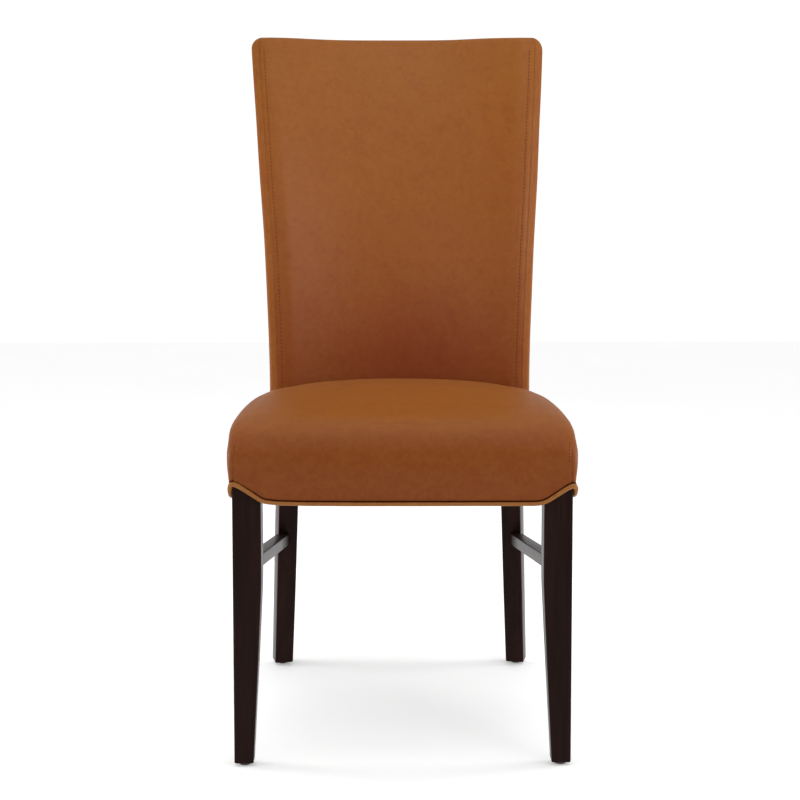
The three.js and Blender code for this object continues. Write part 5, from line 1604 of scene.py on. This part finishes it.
xs = np.linspace(-172, 172, 60)
hem("hem_front", np.column_stack([xs, np.full(60, RIM_Y + 2.2)]), np.column_stack([xs, np.full(60, LEG_FRONT + 8.6)]), 354.3, 355.5)
ys = np.linspace(44, 386, 60)
for side, k in (("right", 1), ("left", -1)):
    hem(
        "hem_" + side,
        np.column_stack([k * (seatHalf(ys) - 2.3), ys]),
        np.column_stack([k * (side_outer(ys) - 2.6), ys]),
        354.3, 355.5,
    )
xr = np.linspace(-150, 150, 60)
hem(
    "hem_rear",
    np.column_stack([xr, backFront(xr, 356.0) + 33.6]),
    np.column_stack([xr, backFront(xr, 356.0) + float(backT(356.0)) - 2.4]),
    354.3, 355.5,
)


def staples():
    verts, faces = [], []
    r = 0.35

    def wire(a, b):
        a, b = np.array(a, float), np.array(b, float)
        t = (b - a) / np.linalg.norm(b - a)
        s = np.cross(t, [0, 0, 1.0]) if abs(t[2]) < 0.9 else np.array([1.0, 0, 0])
        s /= np.linalg.norm(s)
        u = np.cross(s, t)
        base = len(verts)
        for p in (a, b):
            for q in range(6):
                g = q * math.pi / 3
                verts.append(p + r * (math.cos(g) * s + math.sin(g) * u))
        for q in range(6):
            k = (q + 1) % 6
            faces.append((base + q, base + k, base + 6 + k, base + 6 + q))
        faces.append(tuple(base + q for q in range(6))[::-1])
        faces.append(tuple(base + 6 + q for q in range(6)))

    def one(x, y, dx, dy):
        z = 354.6
        wire([x - dx * 5, y - dy * 5, z], [x + dx * 5, y + dy * 5, z])

    for x in np.arange(-162, 163, 36.0):
        one(x, LEG_FRONT + 14.0, 1, 0.06 * math.sin(x))
    for y in np.arange(60, 380, 36.0):
        for k in (1, -1):
            one(k * (side_outer(y) - 8.0), y, -0.07 * k, 1)
    for x in np.arange(-126, 127, 36.0):
        one(x, float(backFront(x, 356.0)) + 28.0, 1, 0)
    ob = mesh_object("staples", np.array(verts), faces, STEEL)
    fix_normals(ob)
    return ob


stp = staples()
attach(stp, "root"), stp

# ------------------------------------------- materials of the kept CAD pieces
LOOK = {
    "front_rail": RAW_X, "rear_rail": RAW_X, "lower_back_rail": RAW_X, "crest_rail": RAW_X,
    "side_rail_right": RAW_Y, "side_rail_left": RAW_Y, "back_board": PLY, "dust_cover": CLOTH,
}
BEVEL = {"front_rail", "rear_rail", "lower_back_rail", "crest_rail", "side_rail_right", "side_rail_left"}
for name, ob in frame["nodes"].items():
    if ob.hide_render:
        continue
    if name in LOOK:
        look = LOOK[name]
    elif "block_screw" in name:
        look = STEEL
    elif "corner_block" in name:
        look = RAW_X
    elif "strap" in name:
        look = WEBBING
    elif "glide" in name:
        look = NYLON
    else:
        look = RAW_X
    ob.data.materials.clear()
    ob.data.materials.append(look)
    if name in BEVEL or "corner_block" in name:
        weld = ob.modifiers.new("weld", "WELD")
        weld.merge_threshold = 0.00002
        bevel = ob.modifiers.new("bevel", "BEVEL")
        bevel.width = 0.0012
        bevel.segments = 2
        bevel.limit_method = "ANGLE"
        bevel.angle_limit = math.radians(50)

# ------------------------------------------------------------ floor and light
bpy.ops.mesh.primitive_plane_add(size=14, location=(0, 0, 0))
floor = bpy.context.object
floor.name = "floor_plane"
ft = Tree("floor_white")
ft.set(Base_Color=ft.ramp(ft.noise(1.5, 2, 0.5), [(0.3, (0.90, 0.90, 0.90)), (0.7, (0.92, 0.92, 0.92))]), Roughness=0.7, Emission_Color=(1, 1, 1), Emission_Strength=0.28)
floor.data.materials.append(ft.mat)

w = bpy.data.worlds.new("studio")
bpy.context.scene.world = w
w.use_nodes = True
wn, wl = w.node_tree.nodes, w.node_tree.links
bg = wn["Background"]
# a pale room: the wall behind the chair is the brightest part of it
direction = wn.new("ShaderNodeTexCoord").outputs["Generated"]
split = wn.new("ShaderNodeSeparateXYZ")
wl.new(direction, split.inputs[0])
wall = wn.new("ShaderNodeMapRange")
wall.interpolation_type = "SMOOTHSTEP"
wall.inputs["From Min"].default_value = -0.95
wall.inputs["From Max"].default_value = 0.3
wall.inputs["To Min"].default_value = 0.143
wall.inputs["To Max"].default_value = 0.511
wl.new(split.outputs["Y"], wall.inputs["Value"])
wl.new(wall.outputs["Result"], bg.inputs["Strength"])
bg.inputs["Color"].default_value = (1, 1, 1, 1)
cam_bg = wn.new("ShaderNodeBackground")
cam_bg.inputs["Color"].default_value = (1, 1, 1, 1)
cam_bg.inputs["Strength"].default_value = 1.05
path = wn.new("ShaderNodeLightPath")
mixw = wn.new("ShaderNodeMixShader")
wl.new(path.outputs["Is Camera Ray"], mixw.inputs["Fac"])
wl.new(bg.outputs[0], mixw.inputs[1])
wl.new(cam_bg.outputs[0], mixw.inputs[2])
wl.new(mixw.outputs[0], wn["World Output"].inputs["Surface"])


def aim(o, loc, target):
    o.location = loc
    o.rotation_euler = (Vector(target) - Vector(loc)).to_track_quat("-Z", "Y").to_euler()


def area(name, loc, target, size, power, color=(1, 1, 1)):
    d = bpy.data.lights.new(name, "AREA")
    d.shape = "RECTANGLE"
    d.size, d.size_y = size
    d.energy = power
    d.color = color
    o = bpy.data.objects.new(name, d)
    bpy.context.scene.collection.objects.link(o)
    aim(o, loc, target)
    return o


overhead = bpy.data.lights.new("overhead", "SUN")
overhead.energy = 1.14
overhead.angle = math.radians(100)
o = bpy.data.objects.new("overhead", overhead)
bpy.context.scene.collection.objects.link(o)
aim(o, (0, -0.10, 3.2), (0, 0, 0))
area("softbox_top", (0, -0.35, 2.25), (0, 0.15, 0.80), (1.6, 0.9), 6.6)
area("softbox_side_right", (2.2, 0.25, 0.7), (0.1, 0.15, 0.6), (0.8, 1.0), 20)
area("softbox_side_left", (-2.2, 0.25, 0.7), (-0.1, 0.15, 0.6), (0.8, 1.0), 22)
for name, loc, size, power, spread in (
    ("softbox_front_right", (1.2, -1.6, 1.75), (0.7, 0.8), 2.18, 55),
    ("softbox_front_left", (-0.55, -1.85, 1.60), (0.7, 0.8), 0.71, 55),
    ("softbox_front_high", (0, -1.2, 2.6), (0.9, 0.9), 0.95, 60),
):
    grid = area(name, loc, (-0.03, 0.22, 0.87), size, power)
    grid.data.spread = math.radians(spread)

# -------------------------------------------------------------------- camera
D, H, TH, PS, CX, F, RO = 2049.996, 720.473, 0.113405, 0.0091864, -22.0465, 1589.9, 0.00059041
cam_data = bpy.data.cameras.new("camera")
cam = bpy.data.objects.new("camera", cam_data)
bpy.context.scene.collection.objects.link(cam)
right = Vector((math.cos(PS), -math.sin(PS), 0))
up = Vector((math.sin(PS) * math.sin(TH), math.cos(PS) * math.sin(TH), math.cos(TH)))
fwd = Vector((math.sin(PS) * math.cos(TH), math.cos(PS) * math.cos(TH), -math.sin(TH)))
r2 = right * math.cos(RO) - up * math.sin(RO)
u2 = right * math.sin(RO) + up * math.cos(RO)
m = Matrix.Identity(4)
for i in range(3):
    m[i][0], m[i][1], m[i][2] = r2[i], u2[i], -fwd[i]
m.translation = Vector((CX / 1000, (-D + SHIFT) / 1000, H / 1000))
cam.matrix_world = m
cam_data.sensor_width = 36.0
cam_data.sensor_fit = "HORIZONTAL"
cam_data.lens = F * 36.0 / 800.0
cam_data.clip_start, cam_data.clip_end = 0.05, 60
cam_data.dof.use_dof = False
bpy.context.scene.camera = cam
bpy.context.scene.view_settings.view_transform = "Standard"
